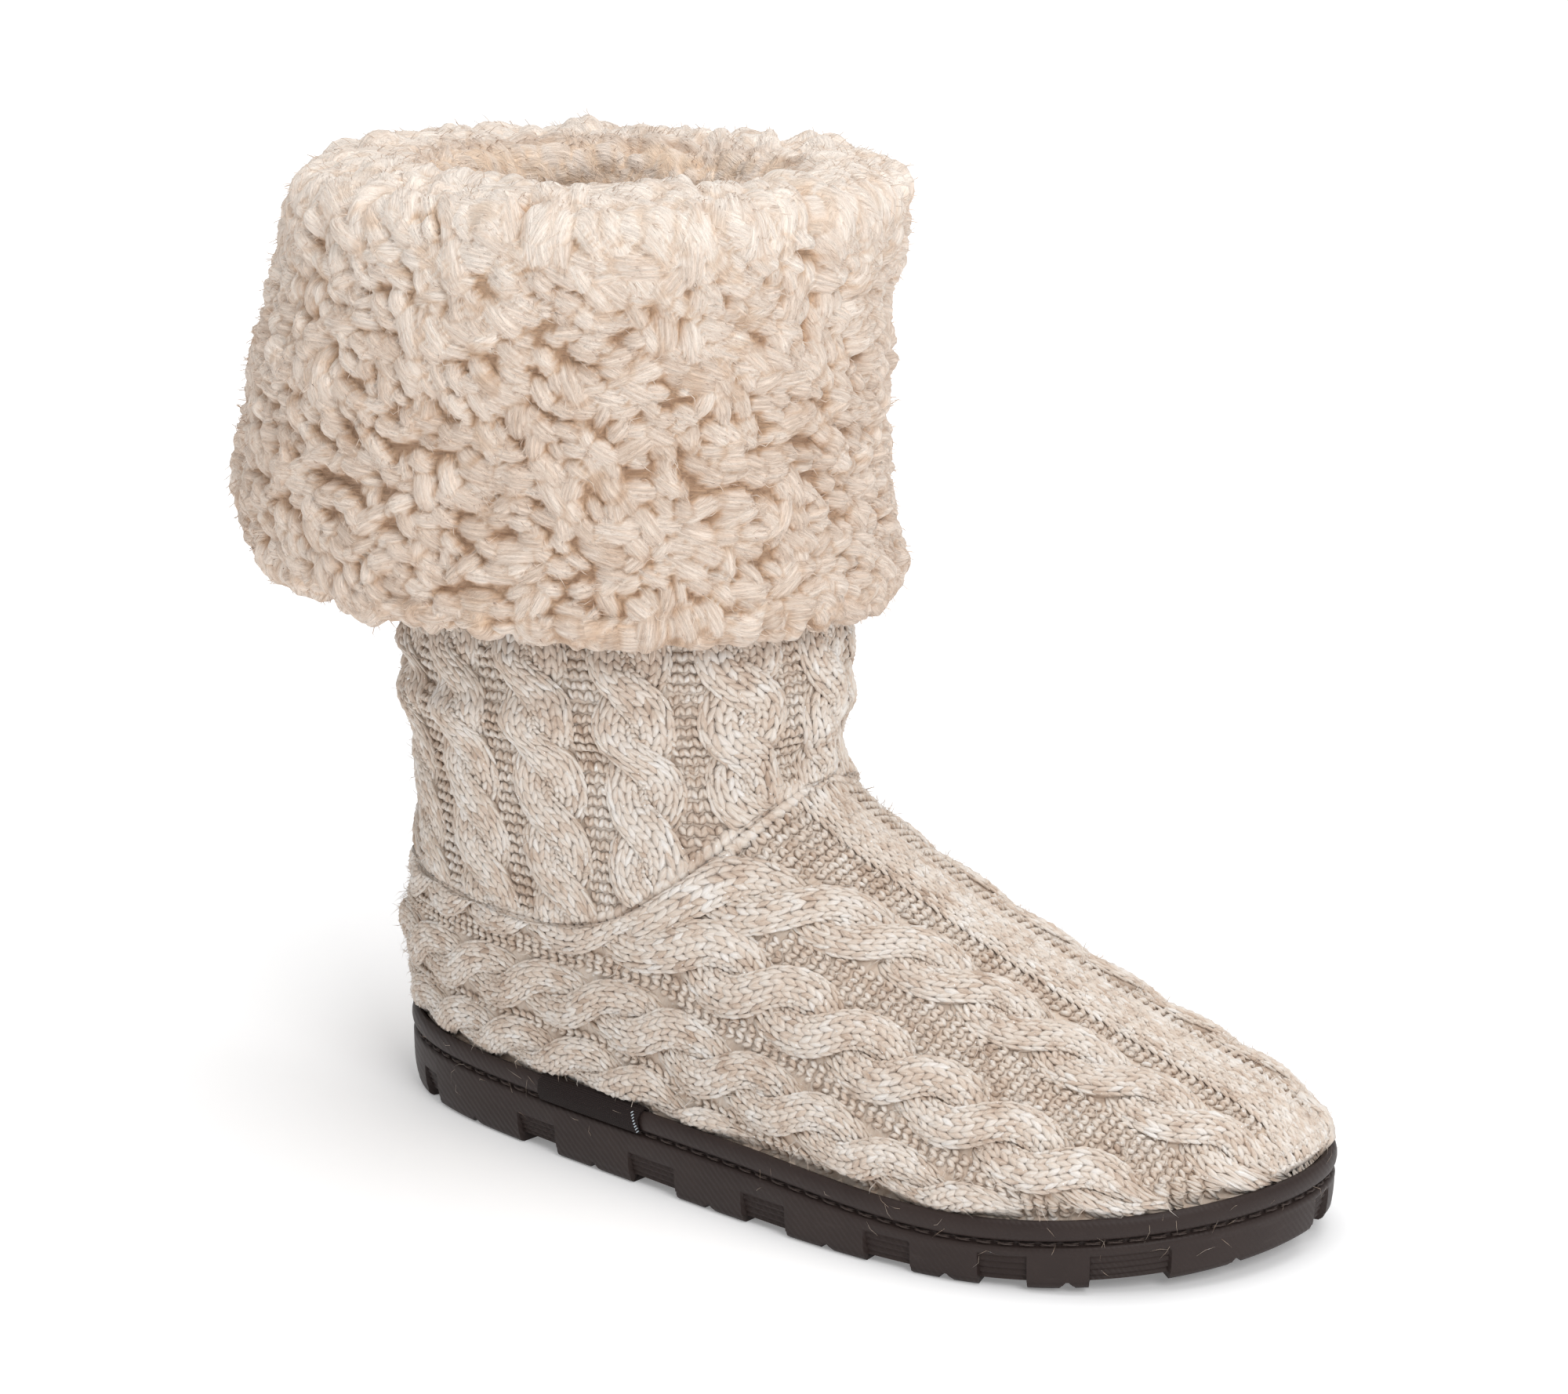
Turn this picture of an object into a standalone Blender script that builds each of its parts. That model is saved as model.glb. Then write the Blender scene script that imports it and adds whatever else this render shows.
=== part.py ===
"""Knitted boot slipper, right foot: rubber unit sole, insole, cable-knit foot and shaft, fleece cuff.

Metres, +Z up.  The toe points along +X, the inner (medial) side of the foot along +Y, and the
origin is the flat of the heel on the floor.  Tables are in millimetres and are scaled by MM.
"""
import math
import random

import bmesh
import bpy
from mathutils import Matrix, Vector

MM = 0.001

# ---- driving dimensions, millimetres -------------------------------------------------------
SOLE_LENGTH = 270.0
HEEL_TO_ORIGIN = 35.0            # origin lies this far in front of the back of the heel
CLEARANCE = 0.3                  # between pieces that touch
KNIT_WALL = 4.0                  # knit with its fleece lining
SHAFT_TOP = 250.0                # folded edge of the knit, under the fleece
PILE = 11.0                      # fleece with its backing on the turned-down leg of the cuff
LINING_PILE = 6.5                # fleece on the leg of the cuff that goes down into the mouth
LINING_DEPTH = 26.0              # how far that leg goes down inside the shaft

# ---- rubber sole, millimetres --------------------------------------------------------------
SOLE_FULLNESS = (67.5, 26.0, 45.0, 81.5)     # half width control values, heel to toe
SOLE_CENTRE = (0.0, -5.5, -30.5, 7.0)        # centre line control values, heel to toe
TOE_SPRING = 5.2
SPRING_START = 190.0             # from the back of the heel
FOOTBED_DEPTH = 7.5              # footbed under the top of the rim
TREAD_DEPTH = 3.2                # height of the gaps between the lugs
RIB_TOP = 9.0                    # top of the ribbed panel over each gap
RIB_PITCH = 1.7
RIB_INSET = 1.8                  # crests of the ribs, in from the outline
RIB_DEPTH = 0.8
PANEL_HOLLOW = 0.012             # the ribbed panels curve in toward the tread
GAP_REACH = 15.0                 # how far each side gap runs in under the sole
GROOVE_WIDTH = 7.0               # straight grooves across the tread
MIDDLE_GROOVE_WIDTH = 5.0

# height of the rim above the floor: distance from the back of the heel, height
RIM_TABLE = (
    (0.0, 22.5),
    (70.0, 21.5),
    (140.0, 21.0),
    (205.0, 18.1),
    (270.0, 22.7),
)

# profile of the sole's side: inset from the outline, height as (share of the way from the floor
# to the rim, millimetres added)
SIDE_PROFILE = (
    (2.2, 0.0, 0.0),             # edge of the tread
    (1.3, 0.0, 0.9),
    (0.3, 1.0, -7.0),            # lower lip of the stitch channel
    (1.3, 1.0, -6.5),
    (1.3, 1.0, -5.7),            # upper lip of the stitch channel
    (0.2, 1.0, -5.2),
    (0.0, 1.0, -3.0),            # belly of the rim bead
    (0.5, 1.0, -1.0),
    (1.4, 1.0, 0.0),             # crest of the rim bead
    (2.4, 1.0, -0.4),
    (3.0, 1.0, -1.3),
    (3.0, 1.0, -FOOTBED_DEPTH),  # footbed at the foot of the rim
)

# gaps between the lugs on each side: angle round the sole from the toe, width along the edge
SIDE_GAPS = (
    (35.5, 20.0),
    (52.6, 8.0),
    (67.6, 9.0),
    (84.3, 10.0),
    (100.5, 13.0),
    (119.5, 12.0),
    (146.0, 6.0),
)
TOE_GAP = (2.0, 8.0)
NOTCH_WIDTH = 3.0
NOTCH_HEIGHT = 1.6

# ---- knit, millimetres ---------------------------------------------------------------------
# One row for each horizontal section.  back and front are distances from the back of the heel,
# w0..w3 are half width control values and c0..c3 centre line control values, heel to toe.
#   level   back  front    w0    w1    w2    w3     c0    c1     c2    c3
UPPER_SECTIONS = (
    (26.0,  -0.3, 267.5, 67.5, 26.0, 44.0, 79.0,   0.0, -5.0, -28.5,  6.0),
    (38.0,  -1.2, 254.5, 68.0, 28.0, 42.0, 66.0,   0.0, -5.0, -24.0,  5.0),
    (52.0,  -0.3, 222.5, 66.0, 32.0, 40.0, 58.0,  -1.0, -5.0, -18.0,  3.0),
    (68.0,   5.0, 186.0, 62.0, 38.0, 38.0, 50.0,  -1.0, -5.0, -13.0,  1.0),
    (86.0,   8.0, 150.0, 57.0, 43.0, 42.0, 46.0,  -2.0, -5.0,  -8.0, -1.0),
    (98.0,   8.0, 132.5, 54.0, 46.5, 46.0, 47.0,  -3.0, -4.0,  -4.0, -3.0),
    (108.0,  7.0, 129.3, 53.0, 49.0, 48.0, 49.0,  -3.0, -3.0,  -3.0, -3.0),
    (118.0,  4.0, 131.3, 55.0, 51.5, 50.5, 51.5,  -3.0, -3.0,  -3.0, -3.0),
    (129.0,  6.0, 131.8, 53.5, 50.0, 49.5, 50.0,  -3.0, -3.0,  -3.0, -3.0),
    (142.0,  6.0, 130.0, 53.5, 50.0, 50.0, 50.0,  -3.0, -3.0,  -3.0, -3.0),
    (160.0,  6.0, 124.0, 53.0, 50.0, 49.5, 49.5,  -3.0, -3.0,  -3.0, -3.0),
    (200.0,  6.0, 122.0, 52.0, 50.0, 49.5, 49.5,  -3.0, -3.0,  -3.0, -3.0),
    (250.0,  6.0, 121.0, 51.0, 50.0, 49.0, 49.0,  -3.0, -3.0,  -3.0, -3.0),
)
RIM_FADE = 60.0                  # height over which the sections stop following the rim
RIM_MEAN = 18.0

# where the knit leaves the sole: height from the top of the rim, inset from the outline
TUCK_PROFILE = (
    (-FOOTBED_DEPTH + CLEARANCE, 3.4),
    (-1.2, 3.4),
    (0.9, 2.7),
    (2.6, 1.0),
)

# seam between foot and shaft: angle round the leg from the front, height of the seam
SEAM_TABLE = (
    (0.0, 101.0),
    (12.0, 100.6),
    (40.0, 93.0),
    (70.0, 80.0),
    (100.0, 65.5),
    (130.0, 66.0),
    (180.0, 70.0),
)

# fleece cuff, outer face, hem to crest: level, back, front, w0..w3 (centre line as the shaft's)
CUFF_SECTIONS = (
    (149.0, -31.0, 141.0, 76.0, 76.0, 75.0, 75.0),
    (158.0, -37.0, 139.5, 79.0, 77.0, 75.0, 74.0),
    (172.0, -38.5, 136.5, 80.0, 78.0, 75.0, 74.0),
    (200.0, -32.5, 135.5, 78.0, 76.0, 74.0, 73.0),
    (225.0, -24.0, 135.5, 75.0, 74.0, 73.0, 73.0),
    (248.0, -15.5, 138.0, 72.0, 71.0, 70.0, 70.0),
    (258.0,  -8.0, 135.0, 65.0, 64.0, 63.0, 63.0),
)
CUFF_CENTRE = -3.0
CUFF_CREST = 263.0
HEM_TILT = 0.03                  # the hem hangs lower at the front by this slope
LOCK_SIZE = (10.5, 8.0, 5.2)      # half length, half width, half thickness of one lock
LOCK_SINK = 0.8                  # centre of a lock under the cuff's face
LOCK_ROWS = 5
LOCKS_IN_ROW = 15

# woven side tab on the outer rim: distances from the back of the heel
TAB_START = 71.0
TAB_END = 108.0
TAB_THICKNESS = 0.8

SOLE_SEGMENTS = 64
KNIT_SEGMENTS = 48
CUFF_SEGMENTS = 36
INSOLE_SEGMENTS = 48


# ---- curves --------------------------------------------------------------------------------
def bezier(share, a, b, c, d):
    """Cubic through four control values."""
    rest = 1.0 - share
    return rest**3 * a + 3 * rest * rest * share * b + 3 * rest * share * share * c + share**3 * d


def smooth_table(table, position):
    """Row of values at a position, by a smooth cubic through the table's rows."""
    position = min(max(position, table[0][0]), table[-1][0])
    last = len(table) - 1
    index = 0
    while index < last - 1 and position > table[index + 1][0]:
        index += 1

    def slope(row, column):
        low = max(row - 1, 0)
        high = min(row + 1, last)
        return (table[high][column] - table[low][column]) / (table[high][0] - table[low][0])

    start, end = table[index], table[index + 1]
    span = end[0] - start[0]
    t = (position - start[0]) / span
    values = []
    for column in range(1, len(start)):
        value = (2 * t**3 - 3 * t**2 + 1) * start[column]
        value += (t**3 - 2 * t**2 + t) * span * slope(index, column)
        value += (3 * t**2 - 2 * t**3) * end[column]
        value += (t**3 - t**2) * span * slope(index + 1, column)
        values.append(value)
    return values


def section_point(back, front, widths, centres, angle):
    """Point of a foot-shaped section, millimetres; angle 0 is the toe and pi the heel."""
    share = (1.0 + math.cos(angle)) / 2.0
    x = back + (front - back) * share - HEEL_TO_ORIGIN
    y = bezier(share, *centres) + math.sin(angle) * bezier(share, *widths)
    return Vector((x, y, 0.0))


def angles(count):
    """Evenly spaced angles round a section."""
    return [math.tau * i / count for i in range(count)]


# ---- sole outline --------------------------------------------------------------------------
def outline(angle, inset=0.0):
    """Point of the sole's outline moved in square to its edge."""
    step = 0.01
    before = section_point(0.0, SOLE_LENGTH, SOLE_FULLNESS, SOLE_CENTRE, angle - step)
    after = section_point(0.0, SOLE_LENGTH, SOLE_FULLNESS, SOLE_CENTRE, angle + step)
    middle = section_point(0.0, SOLE_LENGTH, SOLE_FULLNESS, SOLE_CENTRE, angle)
    along = (after - before).normalized()
    inward = Vector((-along.y, along.x, 0.0))
    return middle + inward * inset


def from_heel(point):
    """Distance of a point from the back of the heel, kept within the sole."""
    return min(max(point.x + HEEL_TO_ORIGIN, 0.0), SOLE_LENGTH)


def tread_height(point):
    """Height of the tread over the floor: flat, then rising to the toe."""
    run = max(from_heel(point) - SPRING_START, 0.0) / (SOLE_LENGTH - SPRING_START)
    return TOE_SPRING * run * run


def rim_height(point):
    """Height of the top of the rim."""
    return smooth_table(RIM_TABLE, from_heel(point))[0]


def station_angle(distance):
    """Angle round the outline of a distance from the back of the heel."""
    return math.acos(2.0 * distance / SOLE_LENGTH - 1.0)


# ---- mesh helpers --------------------------------------------------------------------------
def scaled(point):
    return point * MM


def ring_faces(mesh, lower, upper):
    """Quads between two rings with the same number of points."""
    count = len(lower)
    for i in range(count):
        j = (i + 1) % count
        mesh.faces.new((lower[i], lower[j], upper[j], upper[i]))


def strip_cap(mesh, ring):
    """Close a foot-shaped ring with strips across its width."""
    count = len(ring)
    half = count // 2
    mesh.faces.new((ring[0], ring[1], ring[-1]))
    for i in range(1, half - 1):
        mesh.faces.new((ring[i], ring[i + 1], ring[count - i - 1], ring[count - i]))
    mesh.faces.new((ring[half - 1], ring[half], ring[half + 1]))


def lofted(rings, ends):
    """Mesh through rings; ends is 'caps', 'joined' for a hollow wall, or 'polygons'."""
    mesh = bmesh.new()
    loops = [[mesh.verts.new(scaled(point)) for point in ring] for ring in rings]
    for lower, upper in zip(loops, loops[1:]):
        ring_faces(mesh, lower, upper)
    if ends == "joined":
        ring_faces(mesh, loops[-1], loops[0])
    elif ends == "caps":
        strip_cap(mesh, loops[0])
        strip_cap(mesh, loops[-1])
    else:
        mesh.faces.new(loops[0])
        mesh.faces.new(loops[-1])
    bmesh.ops.triangulate(mesh, faces=mesh.faces)
    bmesh.ops.recalc_face_normals(mesh, faces=mesh.faces)
    return mesh


def make_material(name, colour, roughness):
    material = bpy.data.materials.new(name)
    material.use_nodes = True
    shader = material.node_tree.nodes["Principled BSDF"]
    shader.inputs["Base Color"].default_value = (*colour, 1.0)
    shader.inputs["Roughness"].default_value = roughness
    shader.inputs["Metallic"].default_value = 0.0
    return material


def add_object(name, mesh, collection, material=None, smooth_angle=40.0):
    data = bpy.data.meshes.new(name)
    mesh.to_mesh(data)
    mesh.free()
    data.shade_smooth()
    data.set_sharp_from_angle(angle=math.radians(smooth_angle))
    if material:
        data.materials.append(material)
    piece = bpy.data.objects.new(name, data)
    collection.objects.link(piece)
    return piece


def add_cutter(name, mesh, collection):
    cutter = add_object(name, mesh, collection)
    cutter.display_type = 'WIRE'
    cutter.hide_render = True
    return cutter


def add_boolean(piece, other, operation, solver='EXACT'):
    modifier = piece.modifiers.new(other.name, 'BOOLEAN')
    modifier.operation = operation
    modifier.object = other
    modifier.solver = solver


def merged(meshes):
    """One mesh holding several closed meshes."""
    whole = bmesh.new()
    for mesh in meshes:
        data = bpy.data.meshes.new("merge")
        mesh.to_mesh(data)
        mesh.free()
        whole.from_mesh(data)
        bpy.data.meshes.remove(data)
    return whole


# ---- rubber sole ---------------------------------------------------------------------------
def side_point(angle, inset, share, added):
    """Point on the sole's side, from a row of the side profile."""
    edge = outline(angle)
    point = outline(angle, inset)
    floor, rim = tread_height(edge), rim_height(edge)
    point.z = floor + (rim - floor) * share + added
    return point


def swept_along_edge(profile, middle, width, steps):
    """Closed bar that follows the sole's edge; profile rows are inset and height over the tread."""
    edge = outline(middle)
    near = outline(middle + 0.01)
    half = width / 2.0 / ((near - edge).length / 0.01)
    sections = []
    for i in range(steps + 1):
        angle = middle - half + 2.0 * half * i / steps
        ring = []
        for inset, height in profile:
            point = outline(angle, inset)
            point.z = tread_height(outline(angle)) + height
            ring.append(point)
        sections.append(ring)
    return lofted(sections, "polygons")


def gap_profile():
    """Gap between two lugs with the ribbed panel over it."""
    profile = [(GAP_REACH, -2.0), (GAP_REACH, TREAD_DEPTH)]
    height = TREAD_DEPTH
    while height < RIB_TOP - RIB_PITCH:
        crest = RIB_INSET + PANEL_HOLLOW * (RIB_TOP - height) ** 2
        profile.append((crest, height))
        profile.append((crest + RIB_DEPTH, height + RIB_PITCH / 2.0))
        height += RIB_PITCH
    profile.append((RIB_INSET, height))
    profile.append((-2.0, height + 0.8))
    profile.append((-2.0, -2.0))
    return profile


def notch(angle):
    """Small notch in the middle of a lug."""
    half = NOTCH_WIDTH / 2.0
    outer, inner = outline(angle, -2.0), outline(angle, 9.0)
    along = (inner - outer).normalized().cross(Vector((0.0, 0.0, 1.0)))
    floor = tread_height(outline(angle))
    sections = []
    for end in (outer, inner):
        ring = []
        for side, height in ((-half - 1.0, -1.0), (half + 1.0, -1.0), (0.0, NOTCH_HEIGHT)):
            point = end + along * side
            point.z = floor + height
            ring.append(point)
        sections.append(ring)
    return lofted(sections, "polygons")


def box_between(corner, opposite):
    """Box cutter from two corners, millimetres."""
    mesh = bmesh.new()
    size = opposite - corner
    place = Matrix.Translation(scaled((corner + opposite) / 2.0))
    bmesh.ops.create_cube(mesh, size=1.0, matrix=place @ Matrix.Diagonal((*scaled(size), 1.0)))
    return mesh


def tread_grooves():
    """Straight grooves across the tread and one along its middle."""
    cutters = []
    for angle, _ in SIDE_GAPS[1:-1]:
        outer, inner = outline(-math.radians(angle), 8.0), outline(math.radians(angle), 8.0)
        middle = (outer.x + inner.x) / 2.0
        floor = tread_height(outer)
        low = Vector((middle - GROOVE_WIDTH / 2.0, outer.y, -2.0))
        high = Vector((middle + GROOVE_WIDTH / 2.0, inner.y, floor + TREAD_DEPTH - 0.4))
        cutters.append(box_between(low, high))
    return merged(cutters)


def build_outsole(collection, cutters, material):
    rings = []
    for inset, share, added in SIDE_PROFILE:
        rings.append([side_point(a, inset, share, added) for a in angles(SOLE_SEGMENTS)])
    outsole = add_object("outsole", lofted(rings, "caps"), collection, material, 30.0)

    gaps = [swept_along_edge(gap_profile(), math.radians(TOE_GAP[0]), TOE_GAP[1], 1)]
    for side in (-1.0, 1.0):
        for angle, width in SIDE_GAPS:
            steps = max(1, round(width / 7.0))
            gaps.append(swept_along_edge(gap_profile(), side * math.radians(angle), width, steps))
    gap_cutter = add_cutter("cut_lug_gaps", merged(gaps), cutters)

    notches = []
    stations = [TOE_GAP[0]] + [angle for angle, _ in SIDE_GAPS]
    for side in (-1.0, 1.0):
        for low, high in zip(stations, stations[1:]):
            notches.append(notch(side * math.radians((low + high) / 2.0)))
    notches.append(notch(math.pi))
    notch_cutter = add_cutter("cut_lug_notches", merged(notches), cutters)

    groove_cutter = add_cutter("cut_tread_grooves", tread_grooves(), cutters)
    long_start = outline(math.radians(SIDE_GAPS[-2][0])).x
    long_end = outline(math.radians(SIDE_GAPS[1][0])).x
    middle = bezier(0.6, *SOLE_CENTRE)
    low = Vector((long_start, middle - MIDDLE_GROOVE_WIDTH / 2.0, -2.0))
    high = Vector((long_end, middle + MIDDLE_GROOVE_WIDTH / 2.0, TREAD_DEPTH - 0.8))
    long_cutter = add_cutter("cut_middle_groove", box_between(low, high), cutters)

    # the ribbed panels run nearly along the sole's side, which the exact solver can't settle
    for cutter in (gap_cutter, notch_cutter, groove_cutter, long_cutter):
        add_boolean(outsole, cutter, 'DIFFERENCE', 'MANIFOLD')


def build_insole(collection, material):
    """Fleece-covered insole on the footbed, rounded along its top edge."""
    inset = 3.4 + KNIT_WALL + 0.6
    profile = ((inset, 0.0), (inset, 2.6), (inset + 0.6, 3.6), (inset + 2.0, 4.0))
    rings = []
    for depth, height in profile:
        ring = []
        for angle in angles(INSOLE_SEGMENTS):
            point = outline(angle, depth)
            point.z = rim_height(outline(angle)) - FOOTBED_DEPTH + CLEARANCE + height
            ring.append(point)
        rings.append(ring)
    add_object("insole", lofted(rings, "caps"), collection, material)


# ---- knit foot and shaft -------------------------------------------------------------------
def seam_height(angle):
    """Height of the seam between foot and shaft at an angle round the leg."""
    turn = math.degrees(math.acos(math.cos(angle)))
    return smooth_table(SEAM_TABLE, turn)[0]


def knit_point(angle, level):
    """Point of the outer face of the knit on the section at a level."""
    row = smooth_table(UPPER_SECTIONS, level)
    point = section_point(row[0], row[1], row[2:6], row[6:10], angle)
    fade = max(1.0 - (level - RIM_MEAN) / RIM_FADE, 0.0) ** 2
    point.z = level + (rim_height(point) - RIM_MEAN) * fade
    return point


def knit_normal(angle, level):
    """Direction out of the knit's outer face."""
    around = knit_point(angle + 0.02, level) - knit_point(angle - 0.02, level)
    upward = knit_point(angle, level + 1.0) - knit_point(angle, level - 1.0)
    return around.cross(upward).normalized()


def tuck_point(angle, height, inset):
    """Point of the knit where it goes down inside the rim of the sole."""
    point = outline(angle, inset)
    point.z = rim_height(outline(angle)) + height
    return point


def wall(columns):
    """Hollow wall from columns of (outer point, normal): outer rings up, inner rings down."""
    outer = [[point for point, _ in ring] for ring in columns]
    inner = [[point - normal * KNIT_WALL for point, normal in ring] for ring in columns]
    return lofted(outer + inner[::-1], "joined")


def knit_ring(level_at):
    """Ring of (point, normal) at the level that level_at gives for each angle."""
    ring = []
    for angle in angles(KNIT_SEGMENTS):
        level = level_at(angle)
        ring.append((knit_point(angle, level), knit_normal(angle, level)))
    return ring


def build_foot(collection, material):
    """Knit band round the foot, from inside the rim of the sole up to the seam."""
    columns = []
    for height, inset in TUCK_PROFILE:
        ring = []
        for angle in angles(KNIT_SEGMENTS):
            outward = (outline(angle) - outline(angle, 1.0)).normalized()
            ring.append((tuck_point(angle, height, inset), outward))
        columns.append(ring)
    first = UPPER_SECTIONS[0][0]
    for share in (0.0, 0.08, 0.17, 0.27, 0.38, 0.5, 0.62, 0.74, 0.87, 1.0):
        def level_at(angle, share=share):
            top = seam_height(angle) - CLEARANCE / 2.0
            return first + (top - first) * share
        columns.append(knit_ring(level_at))
    add_object("knit_foot", wall(columns), collection, material)


def build_shaft(collection, material):
    """Knit tube round the ankle and calf, from the seam up to the folded edge."""
    columns = []
    for share in (0.0, 0.09, 0.18, 0.27, 0.34, 0.41, 0.52, 0.76, 1.0):
        def level_at(angle, share=share):
            bottom = seam_height(angle) + CLEARANCE / 2.0
            return bottom + (SHAFT_TOP - bottom) * share
        columns.append(knit_ring(level_at))
    add_object("knit_shaft", wall(columns), collection, material)


# ---- fleece cuff ---------------------------------------------------------------------------
def cuff_point(angle, level, inset=0.0):
    """Point of the cuff's outer face, moved in by an inset."""
    row = smooth_table(CUFF_SECTIONS, level)
    widths = [w - inset for w in row[2:6]]
    centres = [CUFF_CENTRE] * 4
    point = section_point(row[0] + inset, row[1] - inset, widths, centres, angle)
    hang = min(max((190.0 - level) / 40.0, 0.0), 1.0)
    point.z = level - hang * HEM_TILT * (point.x - 20.0)
    return point


def shaft_inner(angle, level, inset):
    """Point inside the shaft, an inset in from the inner face of the knit."""
    point = knit_point(angle, level) - knit_normal(angle, level) * (KNIT_WALL + inset)
    point.z = level
    return point


def cuff_rings():
    """Rings of the folded fleece: up the outer face, over the crest, into the mouth and back."""
    turn = angles(CUFF_SEGMENTS)
    rings = []
    for level in (149.0, 158.0, 172.0, 190.0, 208.0, 228.0, 246.0, 257.0):
        rings.append([cuff_point(a, level) for a in turn])
    crest = [cuff_point(a, 258.0, 9.0) for a in turn]
    for point in crest:
        point.z = CUFF_CREST
    rings.append(crest)
    pile = CLEARANCE + LINING_PILE
    for level, inset in ((257.0, pile - 1.5), (248.0, pile), (236.0, pile)):
        ring = [shaft_inner(a, min(level, SHAFT_TOP - 1.0), inset) for a in turn]
        for point in ring:
            point.z = level
        rings.append(ring)
    bottom = SHAFT_TOP - LINING_DEPTH
    rings.append([shaft_inner(a, bottom, pile - 2.0) for a in turn])
    rings.append([shaft_inner(a, bottom, CLEARANCE + 0.5) for a in turn])
    over = SHAFT_TOP + CLEARANCE + 0.5
    inside = [shaft_inner(a, SHAFT_TOP - 1.0, CLEARANCE + 0.5) for a in turn]
    outside = [shaft_inner(a, SHAFT_TOP - 1.0, -KNIT_WALL - 1.2) for a in turn]
    for ring in (inside, outside):
        for point in ring:
            point.z = over
        rings.append(ring)
    for level, inset in ((240.0, PILE - 1.0), (215.0, PILE), (180.0, PILE), (156.0, PILE - 2.0)):
        rings.append([cuff_point(a, level, inset) for a in turn])
    return rings


def fleece_lock(random_source, angle, level):
    """One lock of fleece: a flattened blob that lies down the cuff."""
    centre = cuff_point(angle, level)
    around = cuff_point(angle + 0.02, level) - cuff_point(angle - 0.02, level)
    upward = cuff_point(angle, level + 1.0) - cuff_point(angle, level - 1.0)
    outward = around.cross(upward).normalized()
    swing = Matrix.Rotation(random_source.uniform(-0.5, 0.5), 3, outward)
    length = swing @ upward.normalized()
    width = outward.cross(length)
    grow = random_source.uniform(0.85, 1.1)
    mesh = bmesh.new()
    bmesh.ops.create_uvsphere(mesh, u_segments=5, v_segments=3, radius=1.0)
    frame = Matrix((width, outward, length)).transposed()
    tilt = Matrix.Rotation(random_source.uniform(0.05, 0.3), 3, width)
    size = Matrix.Diagonal((LOCK_SIZE[1] * grow, LOCK_SIZE[2] * grow, LOCK_SIZE[0] * grow))
    shape = tilt @ frame @ size
    for vertex in mesh.verts:
        vertex.co = scaled(centre - outward * LOCK_SINK + shape @ vertex.co)
    bmesh.ops.recalc_face_normals(mesh, faces=mesh.faces)
    return mesh


def fleece_locks():
    """Staggered rows of locks over the turned-down leg."""
    random_source = random.Random(7)
    low, high = CUFF_SECTIONS[0][0] + 9.0, CUFF_SECTIONS[-1][0] - 10.0
    locks = []
    for row in range(LOCK_ROWS):
        level = low + (high - low) * row / (LOCK_ROWS - 1)
        for i in range(LOCKS_IN_ROW):
            angle = math.tau * (i + 0.5 * (row % 2)) / LOCKS_IN_ROW
            angle += random_source.uniform(-0.05, 0.05)
            lift = random_source.uniform(-1.5, 1.5)
            locks.append(fleece_lock(random_source, angle, level + lift))
    return merged(locks)


def build_cuff(collection, cutters, material):
    cuff = add_object("fleece_cuff", lofted(cuff_rings(), "joined"), collection, material, 60.0)
    locks = add_cutter("add_fleece_locks", fleece_locks(), cutters)
    add_boolean(cuff, locks, 'UNION')


# ---- side tab ------------------------------------------------------------------------------
def build_side_tab(collection, material):
    """Blank woven tab folded over the rim bead on the outer side."""
    def bead(extra):
        return ((0.2 - extra, -4.9), (-extra, -3.0), (0.5 - extra * 0.9, -1.0 + extra * 0.4),
                (1.4, extra))
    near = CLEARANCE + 0.25
    far = near + TAB_THICKNESS
    profile = bead(near) + bead(far)[::-1]
    start, end = station_angle(TAB_START), station_angle(TAB_END)
    steps = 5
    sections = []
    for i in range(steps + 1):
        angle = -(start + (end - start) * i / steps)
        ring = []
        for inset, height in profile:
            point = outline(angle, inset)
            point.z = rim_height(outline(angle)) + height
            ring.append(point)
        sections.append(ring)
    add_object("side_tab", lofted(sections, "polygons"), collection, material)


def main():
    for item in list(bpy.data.objects):
        bpy.data.objects.remove(item, do_unlink=True)
    parts = bpy.data.collections.new("boot_slipper")
    cutters = bpy.data.collections.new("cutters")
    for collection in (parts, cutters):
        bpy.context.scene.collection.children.link(collection)

    rubber = make_material("dark_brown_rubber", (0.042, 0.031, 0.030), 0.62)
    knit_low = make_material("oatmeal_knit_foot", (0.62, 0.53, 0.43), 0.9)
    knit_high = make_material("oatmeal_knit_shaft", (0.66, 0.58, 0.48), 0.9)
    fleece = make_material("cream_fleece", (0.80, 0.70, 0.57), 0.95)
    lining = make_material("cream_insole_fleece", (0.76, 0.67, 0.55), 0.95)
    woven = make_material("black_brown_woven_tab", (0.016, 0.011, 0.012), 0.7)

    build_outsole(parts, cutters, rubber)
    build_insole(parts, lining)
    build_foot(parts, knit_low)
    build_shaft(parts, knit_high)
    build_cuff(parts, cutters, fleece)
    build_side_tab(parts, woven)


main()
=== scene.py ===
"""Knit boot slipper, right foot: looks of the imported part.

The shoe's own frame: toe along +X, inner side of the foot along +Y, floor at z = 0, and the
origin 35 mm in front of the back of the heel.  Lengths are in millimetres; MM turns them to
metres.
"""
import math

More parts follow.
